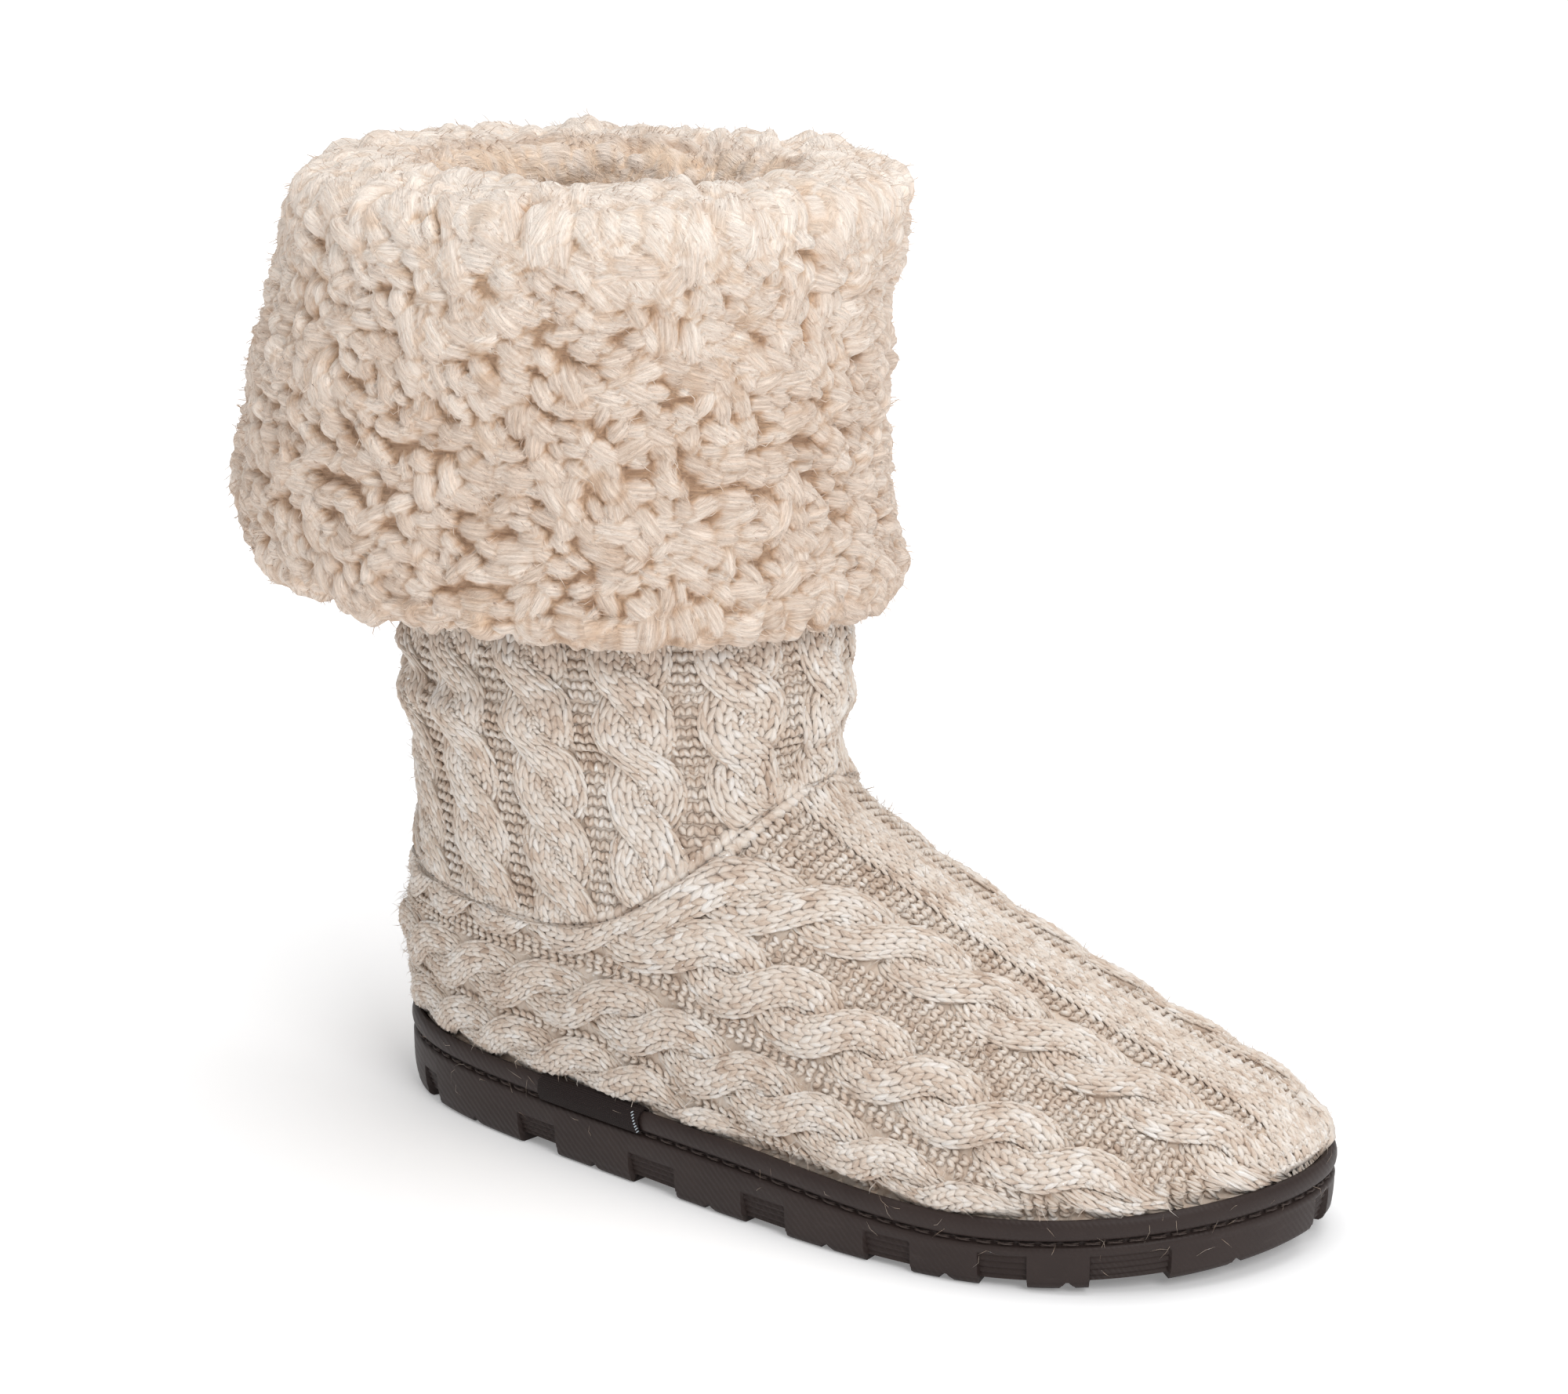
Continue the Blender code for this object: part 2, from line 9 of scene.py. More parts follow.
import bmesh
import bpy
import numpy as np
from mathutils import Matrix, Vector


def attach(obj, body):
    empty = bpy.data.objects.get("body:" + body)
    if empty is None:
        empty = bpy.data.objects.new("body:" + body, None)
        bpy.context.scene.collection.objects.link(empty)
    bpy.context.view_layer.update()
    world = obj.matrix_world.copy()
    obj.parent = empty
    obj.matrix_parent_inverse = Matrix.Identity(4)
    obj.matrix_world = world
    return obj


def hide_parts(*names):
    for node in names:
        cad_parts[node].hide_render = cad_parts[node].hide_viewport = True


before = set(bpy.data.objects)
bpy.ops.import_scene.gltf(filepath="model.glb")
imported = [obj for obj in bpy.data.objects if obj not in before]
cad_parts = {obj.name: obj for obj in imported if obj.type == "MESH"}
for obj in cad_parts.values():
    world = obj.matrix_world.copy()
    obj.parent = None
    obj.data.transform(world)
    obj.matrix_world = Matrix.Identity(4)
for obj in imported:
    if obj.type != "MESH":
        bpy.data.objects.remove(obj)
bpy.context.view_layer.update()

MM = 0.001
SIDES = (-1.0, 1.0)              # outer side of the foot, inner side
FULL_TURN = 2.0 * math.pi

# ---- sections of the shoe --------------------------------------------------------------------
SOLE_LENGTH = 270.0
HEEL_TO_ORIGIN = 35.0
SOLE_FULLNESS = np.array((67.5, 26.0, 45.0, 81.5))
SOLE_CENTRE = np.array((0.0, -5.5, -30.5, 7.0))
RIM_TABLE = ((0.0, 22.5), (70.0, 21.5), (140.0, 21.0), (205.0, 18.1), (270.0, 22.7))
# level, back, front (from the back of the heel), half widths and centre line from heel to toe
UPPER_SECTIONS = (
    (26.0, -0.3, 267.5, 67.5, 26.0, 44.0, 79.0, 0.0, -5.0, -28.5, 6.0),
    (38.0, -1.2, 254.5, 68.0, 28.0, 42.0, 66.0, 0.0, -5.0, -24.0, 5.0),
    (52.0, -0.3, 222.5, 66.0, 32.0, 40.0, 58.0, -1.0, -5.0, -18.0, 3.0),
    (68.0, 5.0, 186.0, 62.0, 38.0, 38.0, 50.0, -1.0, -5.0, -13.0, 1.0),
    (86.0, 8.0, 150.0, 57.0, 43.0, 42.0, 46.0, -2.0, -5.0, -8.0, -1.0),
    (98.0, 8.0, 132.5, 54.0, 46.5, 46.0, 47.0, -3.0, -4.0, -4.0, -3.0),
    (108.0, 7.0, 129.3, 53.0, 49.0, 48.0, 49.0, -3.0, -3.0, -3.0, -3.0),
    (118.0, 4.0, 131.3, 55.0, 51.5, 50.5, 51.5, -3.0, -3.0, -3.0, -3.0),
    (129.0, 6.0, 131.8, 53.5, 50.0, 49.5, 50.0, -3.0, -3.0, -3.0, -3.0),
    (142.0, 6.0, 130.0, 53.5, 50.0, 50.0, 50.0, -3.0, -3.0, -3.0, -3.0),
    (160.0, 6.0, 124.0, 53.0, 50.0, 49.5, 49.5, -3.0, -3.0, -3.0, -3.0),
    (200.0, 6.0, 122.0, 52.0, 50.0, 49.5, 49.5, -3.0, -3.0, -3.0, -3.0),
    (250.0, 6.0, 121.0, 51.0, 50.0, 49.0, 49.0, -3.0, -3.0, -3.0, -3.0),
)
KNIT_FOOT = 26.0                 # level where the knit starts down inside the rim
TUCK = ((2.6, 1.0), (0.9, 2.7), (-1.2, 3.4))     # over the rim, in from its edge
RIM_FADE, RIM_MEAN = 60.0, 18.0  # how far up the knit follows the rim's rise and fall
SEAM_TABLE = ((0.0, 101.0), (12.0, 100.6), (40.0, 93.0), (70.0, 80.0), (100.0, 65.5),
              (130.0, 66.0), (180.0, 70.0))
SHAFT_TOP = 250.0
KNIT_WALL = 4.0
# level, back, front, half widths from heel to toe
CUFF_SECTIONS = (
    (149.0, -31.0, 141.0, 76.0, 76.0, 75.0, 75.0),
    (158.0, -37.0, 139.5, 79.0, 77.0, 75.0, 74.0),
    (172.0, -38.5, 136.5, 80.0, 78.0, 75.0, 74.0),
    (200.0, -32.5, 135.5, 78.0, 76.0, 74.0, 73.0),
    (225.0, -24.0, 135.5, 75.0, 74.0, 73.0, 73.0),
    (248.0, -15.5, 138.0, 72.0, 71.0, 70.0, 70.0),
    (258.0, -8.0, 135.0, 65.0, 64.0, 63.0, 63.0),
)
CUFF_TOP = 258.0
CUFF_CENTRE = -3.0
HEM_TILT = 0.03
PILE = 11.0


# ---- curves and grids ------------------------------------------------------------------------
def table_rows(table, position):
    """Rows of values at positions, by a smooth cubic through the table."""
    table = np.asarray(table, float)
    keys, rows = table[:, 0], table[:, 1:]
    position = np.clip(np.asarray(position, float), keys[0], keys[-1])
    last = len(keys) - 1
    low = np.maximum(np.arange(last + 1) - 1, 0)
    high = np.minimum(np.arange(last + 1) + 1, last)
    slopes = (rows[high] - rows[low]) / (keys[high] - keys[low])[:, None]
    i = np.clip(np.searchsorted(keys, position, side="right") - 1, 0, last - 1)
    span = (keys[i + 1] - keys[i])[..., None]
    t = (position - keys[i])[..., None] / span
    return ((2 * t**3 - 3 * t**2 + 1) * rows[i] + (t**3 - 2 * t**2 + t) * span * slopes[i]
            + (3 * t**2 - 2 * t**3) * rows[i + 1] + (t**3 - t**2) * span * slopes[i + 1])


def table_value(table, position):
    return table_rows(table, position)[..., 0]


def cubic(share, values):
    rest = 1.0 - share
    return (rest**3 * values[..., 0] + 3 * rest * rest * share * values[..., 1]
            + 3 * rest * share * share * values[..., 2] + share**3 * values[..., 3])


def ramp(value, start, end):
    """Smooth step from 0 at start to 1 at end."""
    t = np.clip((value - start) / (end - start), 0.0, 1.0)
    return t * t * (3.0 - 2.0 * t)


def bell(value, middle, reach):
    return np.exp(-((value - middle) / reach) ** 2)


def unit(vectors):
    """The same directions, each of length one."""
    return vectors / np.maximum(np.linalg.norm(vectors, axis=-1, keepdims=True), 1e-9)


def run_of(points):
    """Distance along a line of points from its first one."""
    steps = np.linalg.norm(np.diff(points, axis=0), axis=1)
    return np.concatenate([[0.0], np.cumsum(steps)])


def between(start, end, share):
    """Rows of values that go from start to end."""
    return start[:, None] + (end - start)[:, None] * share


def zero_crossing(values, gap):
    """Value at which the gap first falls to zero."""
    j = int(np.argmax(gap <= 0.0))
    return values[j - 1] + (values[j] - values[j - 1]) * gap[j - 1] / (gap[j - 1] - gap[j])


def grid_look_up(grid, i, j):
    """Values of a grid between its points."""
    i = np.clip(i, 0.0, grid.shape[0] - 1.001)
    j = np.clip(j, 0.0, grid.shape[1] - 1.001)
    a, b = i.astype(int), j.astype(int)
    u, v = (i - a)[..., None], (j - b)[..., None]
    return ((1 - u) * (1 - v) * grid[a, b] + u * (1 - v) * grid[a + 1, b]
            + (1 - u) * v * grid[a, b + 1] + u * v * grid[a + 1, b + 1])


def all_pairs(first, second):
    return tuple(g.reshape(-1) for g in np.meshgrid(first, second, indexing="ij"))


def waves(points, size, seed):
    """Smooth bumpy values from sums of plane waves, between about -1 and 1."""
    source = np.random.default_rng(seed)
    total, weight = np.zeros(points.shape[:-1]), 0.0
    for octave in range(3):
        for _ in range(7):
            direction = source.normal(size=3)
            direction *= FULL_TURN / (size / 1.9**octave) / np.linalg.norm(direction)
            total += 0.6**octave * np.sin(points @ direction + source.uniform(0.0, FULL_TURN))
        weight += 0.6**octave
    return total / (weight * 2.6)


# ---- faces of the sole and the knit ----------------------------------------------------------
def rim_height(x):
    return table_value(RIM_TABLE, np.clip(x + HEEL_TO_ORIGIN, 0.0, SOLE_LENGTH))


def sole_edge(angle, inset):
    """Points of the sole's outline, moved in square to its edge."""
    angle = np.asarray(angle, float)

    def at(a):
        share = (1.0 + np.cos(a)) / 2.0
        return (SOLE_LENGTH * share - HEEL_TO_ORIGIN,
                cubic(share, SOLE_CENTRE) + np.sin(a) * cubic(share, SOLE_FULLNESS))
    (x0, y0), (x, y), (x1, y1) = at(angle - 0.01), at(angle), at(angle + 0.01)
    size = np.hypot(x1 - x0, y1 - y0)
    return x - (y1 - y0) / size * inset, y + (x1 - x0) / size * inset


def rim_at(angle):
    """Height of the rim's top at an angle round the sole."""
    return rim_height(sole_edge(angle, 0.0)[0])


def rim_share(level):
    return np.maximum(1.0 - (level - RIM_MEAN) / RIM_FADE, 0.0) ** 2


def knit_surface(angle, level):
    """Outer face of the knit; angle 0 is the toe, pi the heel, and positive the inner side."""
    angle, level = np.broadcast_arrays(np.asarray(angle, float), np.asarray(level, float))
    row = table_rows(UPPER_SECTIONS, level)
    share = (1.0 + np.cos(angle)) / 2.0
    x = row[..., 0] + (row[..., 1] - row[..., 0]) * share - HEEL_TO_ORIGIN
    y = cubic(share, row[..., 6:10]) + np.sin(angle) * cubic(share, row[..., 2:6])
    return np.stack([x, y, level + (rim_height(x) - RIM_MEAN) * rim_share(level)], -1)


def outward(angle, level):
    """Outward direction of the knit's face."""
    along = knit_surface(angle + 0.01, level) - knit_surface(angle - 0.01, level)
    up = knit_surface(angle, level + 0.5) - knit_surface(angle, level - 0.5)
    return unit(np.cross(along, up))


def over_knit(angle, level, height):
    """Places at a height over the knit's outer face, or under it."""
    return knit_surface(angle, level) + outward(angle, level) * np.asarray(height)[..., None]


def angle_at(x, row):
    """Angle round a section of the upper at a place along it."""
    share = (x + HEEL_TO_ORIGIN - row[..., 0]) / (row[..., 1] - row[..., 0])
    return np.arccos(np.clip(2.0 * share - 1.0, -1.0, 1.0))


def seam_height(angle):
    return table_value(SEAM_TABLE, np.degrees(np.arccos(np.clip(np.cos(angle), -1.0, 1.0))))


def seam_crease(gap):
    """How far the knit dips toward the seam under the shaft, from its distance to the seam."""
    return 0.7 * (1.0 - ramp(gap, 0.0, 4.5)) ** 2


def tucked(angle):
    """Places where the knit goes down inside the rim, one after another."""
    rim = rim_at(angle)
    return [np.stack([*sole_edge(angle, inset), rim + height], -1) for height, inset in TUCK]


# ---- the knit of the foot laid out flat ------------------------------------------------------
# s runs along the foot from the heel to the toe and t down its side from the ridge of the vamp,
# both in millimetres of knit
LEAN = ((-200.0, 0.0), (20.0, 0.0), (60.0, 0.2), (75.0, 0.33), (100.0, 0.4), (150.0, 0.63),
        (200.0, 1.2), (240.0, 1.9))
TURN = 20.0                      # behind this the rows of stitches turn round the heel
TOP = 101.0
ANCHOR = 69.5                    # t of the second purl band, which the other bands follow
ANCHOR_RIDGE = ((60.0, 76.5), (75.0, 76.0), (94.0, 72.9), (116.0, 69.8), (156.0, 69.2),
                (240.0, 68.5))
ANCHOR_HEIGHT = ((-100.0, 55.2), (60.0, 55.2), (78.0, 53.5), (94.0, 48.5))
HEEL_ARC = 85.0
HEEL_START = 40.0                # t at the top of the ribs behind the heel
TOE_END = 231.5
T_LAST = 125.0
RIB_POINTS = 90
STATIONS = np.arange(TURN - HEEL_ARC, TOE_END + 0.01)


def side_rib(s, side):
    """Points down one rib beside the ankle or over the vamp, and how far from the ridge."""
    def lean(level):
        return s + table_value(LEAN, s) * (np.maximum(level - 20.0, 0.0) / 10.0) ** 2
    levels = np.linspace(KNIT_FOOT, TOP, 400)
    gap = table_rows(UPPER_SECTIONS, levels)[:, 1] - HEEL_TO_ORIGIN - lean(levels)
    top = zero_crossing(levels, gap) if (gap < 0.0).any() else TOP
    level = top - (top - KNIT_FOOT) * np.linspace(0.0, 1.0, RIB_POINTS) ** 2
    row = table_rows(UPPER_SECTIONS, level)
    angle = side * angle_at(lean(level), row)
    points = knit_surface(angle, level)
    start = abs(points[0, 1] - cubic(angle_share(angle), row[:, 6:10])[0])
    return np.vstack([points, *tucked(angle[-1])]), start


def angle_share(angle):
    return (1.0 + np.cos(angle)) / 2.0


def heel_ribs(side):
    """Points down the ribs that turn round the heel."""
    level = np.linspace(TOP, KNIT_FOOT, RIB_POINTS)
    first = angle_at(TURN, table_rows(UPPER_SECTIONS, level))
    angle = between(first, np.full_like(first, math.pi), np.linspace(0.0, 1.0, 60))
    points = knit_surface(angle * side, level[:, None])
    arc = np.array([run_of(line) for line in points])
    arc /= arc[:, -1:]
    ribs = []
    for s in STATIONS[STATIONS < TURN]:
        want = (TURN - s) / HEEL_ARC
        a = side * np.array([np.interp(want, arc[i], angle[i]) for i in range(RIB_POINTS)])
        ribs.append((np.vstack([knit_surface(a, level), *tucked(a[-1])]), HEEL_START))
    return ribs


def foot_chart(side):
    """Grid of places on the knit's face for every s and t, and t at its bottom and its top."""
    downs = np.arange(0.0, T_LAST + 0.01)
    grid, bottom, top = [], [], []
    ribs = heel_ribs(side) + [side_rib(s, side) for s in STATIONS[STATIONS >= TURN]]
    for s, (points, start) in zip(STATIONS, ribs):
        x, z = points[:, 0], points[:, 2]
        arc = start + run_of(points)
        by_height = np.interp(-table_value(ANCHOR_HEIGHT, s), -z, arc)
        by_ridge = table_value(ANCHOR_RIDGE, s)
        anchor = by_height + (by_ridge - by_height) * ramp(s, 62.0, 92.0)
        scale = 1.0 + (ANCHOR / anchor - 1.0) * ramp(s, 55.0, 75.0)
        t = ANCHOR + (arc - anchor) * scale
        grid.append(np.stack([np.interp(downs, t, column) for column in points.T], -1))
        bottom.append(np.interp(-(rim_height(x[-1]) + 1.2), -z, t))
        level = z - (rim_height(x) - RIM_MEAN) * rim_share(z) * 0.5
        over = z - seam_height(angle_at(x, table_rows(UPPER_SECTIONS, level)))
        top.append(max(zero_crossing(t, over), 0.0) if over[0] > 0.0 else 0.0)
    return np.array(grid), np.array(bottom), np.array(top)


CHARTS, BOTTOMS, TOPS, NORMALS = {}, {}, {}, {}
for side in SIDES:
    CHARTS[side], BOTTOMS[side], TOPS[side] = foot_chart(side)
    normal = unit(np.cross(*np.gradient(CHARTS[side], axis=(0, 1))))
    NORMALS[side] = normal * np.sign(normal[120, 60, 1]) * side


def foot_edge(values, s, side):
    return np.interp(s, STATIONS, values[side])


def on_foot(side, s, t, height):
    """Places of the foot's chart at a height over the knit's face, or under it."""
    i = s - STATIONS[0]
    return (grid_look_up(CHARTS[side], i, t)
            + grid_look_up(NORMALS[side], i, t) * np.asarray(height)[..., None])


def foot_place(side):
    """Function from (s, t, height) to a place; keeps to its side of the seam."""
    def place(s, t, height):
        top = foot_edge(TOPS, s, side)
        behind = top > 0.5
        kept = np.where(behind, np.maximum(t, top + 0.4), t)
        height = height - np.where(behind, seam_crease(kept - top), 0.0)
        return np.where((kept < 0.0)[..., None], on_foot(-side, s, np.abs(kept), height),
                        on_foot(side, s, np.abs(kept), height))
    return place


# ---- the shaft's places ----------------------------------------------------------------------
# soft folds: degrees round from the toe (minus is the outer side), level, how far they reach
# round and up, their slope, and their height (minus is a trough)
SHAFT_FOLDS = (
    (-150.0, 131.0, 34.0, 3.0, -0.05, 1.9),
    (-140.0, 125.0, 36.0, 2.6, -0.06, -2.1),
    (-168.0, 109.0, 30.0, 3.4, 0.03, -1.5),
    (-95.0, 136.0, 26.0, 4.0, 0.05, 1.8),
    (-60.0, 128.0, 30.0, 3.0, 0.06, -1.9),
    (-108.0, 119.0, 24.0, 3.4, 0.08, 1.3),
    (-78.0, 111.0, 24.0, 3.0, -0.06, -1.5),
    (-125.0, 97.0, 24.0, 3.2, 0.05, -1.0),
    (-18.0, 108.0, 34.0, 3.2, 0.03, -1.6),
    (-10.0, 116.0, 40.0, 4.6, 0.02, 1.3),
    (150.0, 122.0, 36.0, 3.0, 0.05, -1.7),
    (120.0, 129.0, 34.0, 3.6, 0.03, 1.3),
    (60.0, 112.0, 32.0, 3.2, -0.04, -1.4),
    (172.0, 134.0, 26.0, 3.2, 0.0, 1.3),
)
ARC_LEVEL = 108.0                # the knit's width is measured round the shaft at this level
ROUND = np.linspace(-math.pi, math.pi, 1441)
ROUND_ARC = run_of(knit_surface(ROUND, ARC_LEVEL))
GIRTH = float(ROUND_ARC[-1])
SEAM_ARC = run_of(knit_surface(ROUND, seam_height(ROUND)))


def shaft_folds(angle, level):
    turned = np.degrees(np.arctan2(np.sin(angle), np.cos(angle)))
    total = np.zeros(np.broadcast(turned, level).shape)
    for at, height, reach, width, slope, depth in SHAFT_FOLDS:
        away = (turned - at + 180.0) % 360.0 - 180.0
        total += depth * bell(away, 0.0, reach) * bell(level - slope * away, height, width)
    return total


def shaft_angle(a, level):
    """Section angle of the vertical line of knit that starts at arc a behind the heel."""
    base = np.interp(a % GIRTH, ROUND_ARC, ROUND)
    base = np.interp((a + 0.10 * (level - ARC_LEVEL) * np.sin(base)) % GIRTH, ROUND_ARC, ROUND)
    x = knit_surface(base, np.full_like(level, ARC_LEVEL))[..., 0]
    upright = angle_at(x, table_rows(UPPER_SECTIONS, level))
    turned = np.degrees(np.abs(base))
    share = ramp(turned, 25.0, 50.0) * (1.0 - ramp(turned, 120.0, 150.0))
    return np.sign(base) * (np.abs(base) + (upright - np.abs(base)) * share)


def shaft_place(u, a, height):
    """Place on the shaft: u is down from its top, a is round it, height is outward."""
    level = SHAFT_TOP - u
    angle = shaft_angle(a, level)
    bottom = seam_height(angle)
    kept = np.maximum(level, bottom + 0.4)
    return over_knit(angle, kept, height - seam_crease(kept - bottom) + shaft_folds(angle, kept))


def shaft_grid(count, share, below, top):
    """Level where each upright line of knit starts, and the levels and angles up to a top."""
    arcs = np.linspace(0.0, GIRTH, count + 1)[:-1]
    start = np.full(count, 80.0)
    for _ in range(12):          # the seam's level depends on the angle, and that on the level
        start = 0.5 * start + 0.5 * seam_height(shaft_angle(arcs, start))
    start = start - below
    level = between(start, np.full(count, top), share)
    return start, level, shaft_angle(np.repeat(arcs[:, None], len(share), axis=1), level)


def shaft_inside(angle, level, inset):
    """Places inside the shaft, in from the inner face of the knit."""
    point = over_knit(angle, level, -KNIT_WALL - inset)
    point[..., 2] = level
    return point


# ---- building blocks -------------------------------------------------------------------------
NO_TRIS = np.zeros((0, 3), int)


def numbered(rows, columns):
    return np.arange(rows * columns).reshape(rows, columns)


def wrap_quads(grid, ring=False):
    """Faces round a tube whose rings are the rows of point numbers; a ring joins its ends."""
    if ring:
        grid = np.vstack([grid, grid[:1]])
    across = np.roll(grid, -1, axis=1)
    return np.stack([grid[:-1], grid[1:], across[1:], across[:-1]], -1).reshape(-1, 4)


def flat32(values):
    return np.asarray(values, np.float32).reshape(-1)


class Batch:
    """Many small closed shapes gathered into one mesh."""

    def __init__(self):
        self.points, self.quads, self.tris, self.uv, self.tone = [], [], [], [], []
        self.count = 0

    def add(self, points, quads, tone, tris=NO_TRIS, uv=None):
        """n copies of a shape: points (n, m, 3), faces of one, tone and uv of every point."""
        n, m = points.shape[:2]
        base = self.count + np.arange(n)[:, None, None] * m
        self.quads.append((base + quads).reshape(-1, 4))
        self.tris.append((base + tris).reshape(-1, 3))
        self.points.append(points.reshape(-1, 3))
        self.uv.append((np.zeros((n, m, 2)) if uv is None else uv).reshape(-1, 2))
        self.tone.append(np.broadcast_to(tone, (n, m, 3)).reshape(-1, 3))
        self.count += n * m

    def make(self, name):
        quads, tris = np.concatenate(self.quads), np.concatenate(self.tris)
        loops = np.concatenate([quads.reshape(-1), tris.reshape(-1)])
        starts = np.concatenate([np.arange(len(quads)) * 4,
                                 len(quads) * 4 + np.arange(len(tris)) * 3])
        mesh = bpy.data.meshes.new(name)
        mesh.vertices.add(self.count)
        mesh.vertices.foreach_set("co", flat32(np.concatenate(self.points) * MM))
        mesh.loops.add(len(loops))
        mesh.loops.foreach_set("vertex_index", loops.astype(np.int32))
        mesh.polygons.add(len(starts))
        mesh.polygons.foreach_set("loop_start", starts.astype(np.int32))
        mesh.update(calc_edges=True)
        mesh.validate()
        layer = mesh.uv_layers.new(name="yarn")
        layer.data.foreach_set("uv", flat32(np.concatenate(self.uv)[loops]))
        shade = mesh.attributes.new("tone", 'FLOAT_COLOR', 'POINT')
        colour = np.pad(np.concatenate(self.tone), ((0, 0), (0, 1)), constant_values=1.0)
        shade.data.foreach_set("color", flat32(colour))
        work = bmesh.new()
        work.from_mesh(mesh)
        bmesh.ops.recalc_face_normals(work, faces=work.faces)
        work.to_mesh(mesh)
        work.free()
        mesh.shade_smooth()
        piece = bpy.data.objects.new(name, mesh)
        bpy.context.scene.collection.objects.link(piece)
        return piece


def add_slab(batch, outer, inner, tone, ring=False):
    """Closed wall between an outer and an inner grid of the same size."""
    rows, columns = outer.shape[:2]
    place = numbered(rows, columns)
    loop = np.hstack([place, place[:, ::-1] + place.size])
    quads = [wrap_quads(loop, ring)]
    if not ring:
        for line in (loop[0], loop[-1]):
            back = line[::-1]
            quads.append(np.stack([line[:columns - 1], line[1:columns],
                                   back[1:columns], back[:columns - 1]], -1))
    points = np.concatenate([outer.reshape(-1, 3), inner.reshape(-1, 3)])
    uv = np.tile(np.stack(np.divmod(place.reshape(-1), columns), -1), (2, 1)) / 4.0
    batch.add(points[None], np.concatenate(quads), tone, uv=uv[None])


# ---- stitches --------------------------------------------------------------------------------
ROW, COLUMN = 2.8, 2.8           # one stitch, along and across the rows
GROUND = -2.2                    # the knit's backing, under its outer face
# the purl stitches lie deep, so PURL_SHADE gives them more painted shade
PURL_HEIGHT, PURL_SHADE = -2.3, 0.34
GRAIN_SIDES = 4
GRAIN_STOPS = np.array((0.0, 0.17, 0.48, 0.82, 1.0))
SPREAD = 97                      # grains take their uv from a table this wide
chance = np.random.default_rng(11)


def grain_shape():
    """Unit yarn grain: positions across, along (0..1) and out, its faces and its uv."""
    rings = GRAIN_STOPS[1:-1]
    turn = np.radians(-100.0 + 360.0 * np.arange(GRAIN_SIDES) / GRAIN_SIDES)
    points, uv = [(0.0, 0.0, 0.0)], [(0.5, 0.0)]
    for stop in rings:
        radius = math.sqrt(math.sin(math.pi * (0.04 + 0.92 * stop)))
        points += [(radius * math.cos(a), stop, radius * math.sin(a)) for a in turn]
        uv += [(i / GRAIN_SIDES, stop) for i in range(GRAIN_SIDES)]
    points.append((0.0, 1.0, 0.0))
    uv.append((0.5, 1.0))
    grid = numbered(len(rings), GRAIN_SIDES) + 1
    first, last = grid[0], grid[-1]
    tip = np.full(GRAIN_SIDES, len(points) - 1)
    tris = np.concatenate([np.stack([0 * first, first, np.roll(first, -1)], -1),
                           np.stack([tip, np.roll(last, -1), last], -1)])
    return np.array(points), wrap_quads(grid), tris, np.array(uv)


LEG, LEG_QUADS, LEG_TRIS, LEG_UV = grain_shape()


def add_grains(batch, place, count, at, half_width, half_height, shade):
    """Grains of yarn along centre lines: at(stop) is their (u, w, height) from end to end.

    The tone holds each grain's own random tone, its painted shade (from shade, and darker at its
    lower points), and a spare number.
    """
    line = np.empty((3, count, len(LEG)))
    for j, stop in enumerate(LEG[:, 1]):
        for k, value in enumerate(at(stop)):
            line[k, :, j] = value
    (u0, w0, _), (u1, w1, _) = at(0.25), at(0.75)
    size = np.hypot(u1 - u0, w1 - w0)
    grow = chance.uniform(0.9, 1.12, count)[:, None]
    sideways = LEG[:, 0] * half_width * grow / size[:, None]
    points = place(line[0] - sideways * np.reshape(w1 - w0, (-1, 1)),
                   line[1] + sideways * np.reshape(u1 - u0, (-1, 1)),
                   line[2] + LEG[:, 2] * half_height * grow)
    spread = np.stack(np.divmod(np.arange(count), SPREAD)[::-1], -1)
    tone = np.empty((count, len(LEG), 3))
    tone[..., 0] = np.clip(chance.normal(0.5, 0.22, (count, 1)), 0.0, 1.0)
    # painted shade: a grain's lower points get a darker tone
    depth = 0.35 * (LEG[:, 2] * 0.9 - 0.25)
    tone[..., 1] = np.clip(np.reshape(shade, (-1, 1)) + depth, 0.0, 1.0)
    tone[..., 2] = chance.random((count, 1))
    batch.add(points, LEG_QUADS, tone, LEG_TRIS, LEG_UV + spread[:, None] * 2.0)


def add_knit_legs(batch, place, u, w, height, shade, column=COLUMN, row=ROW):
    """V stitches: two slanted legs each, at rows u and columns w."""
    for hand in SIDES:
        du, dw = chance.normal(0.0, 0.12, len(u)), chance.normal(0.0, 0.10, len(u))

        def at(stop):
            return (u + du + row * (stop * 1.66 - 0.45),
                    w + dw + hand * column * (0.05 + 0.40 * stop),
                    height + 0.05 + 0.40 * math.sin(math.pi * stop) + 0.30 * (0.5 - stop))
        add_grains(batch, place, len(u), at, column * 0.30, 0.68, shade)


def add_purl_bumps(batch, place, u, w):
    """Purl stitches: the two legs of a zigzag that runs across the rows."""
    for half in (0.0, 0.5):
        du, dw = chance.normal(0.0, 0.13, len(u)), chance.normal(0.0, 0.13, len(u))
        swing = ROW * 0.42 * (-1.0 if half else 1.0) * chance.uniform(0.8, 1.15, len(u))

        def at(stop):
            slant = COLUMN * (half - 0.25 + (stop - 0.5) * 0.56)
            return (u + du + swing * 1.12 * (2.0 * stop - 1.0),
                    w + dw + slant + 0.10 * math.sin(FULL_TURN * stop),
                    PURL_HEIGHT + 0.35 - 0.2 * half + 0.45 * math.sin(math.pi * stop))
        add_grains(batch, place, len(u), at, ROW * 0.31, 0.82, PURL_SHADE)


def lay_purl(batch, place, rows, columns, is_free):
    u, w = all_pairs(rows, columns)
    free = is_free(u, w)
    add_purl_bumps(batch, place, u[free], w[free])


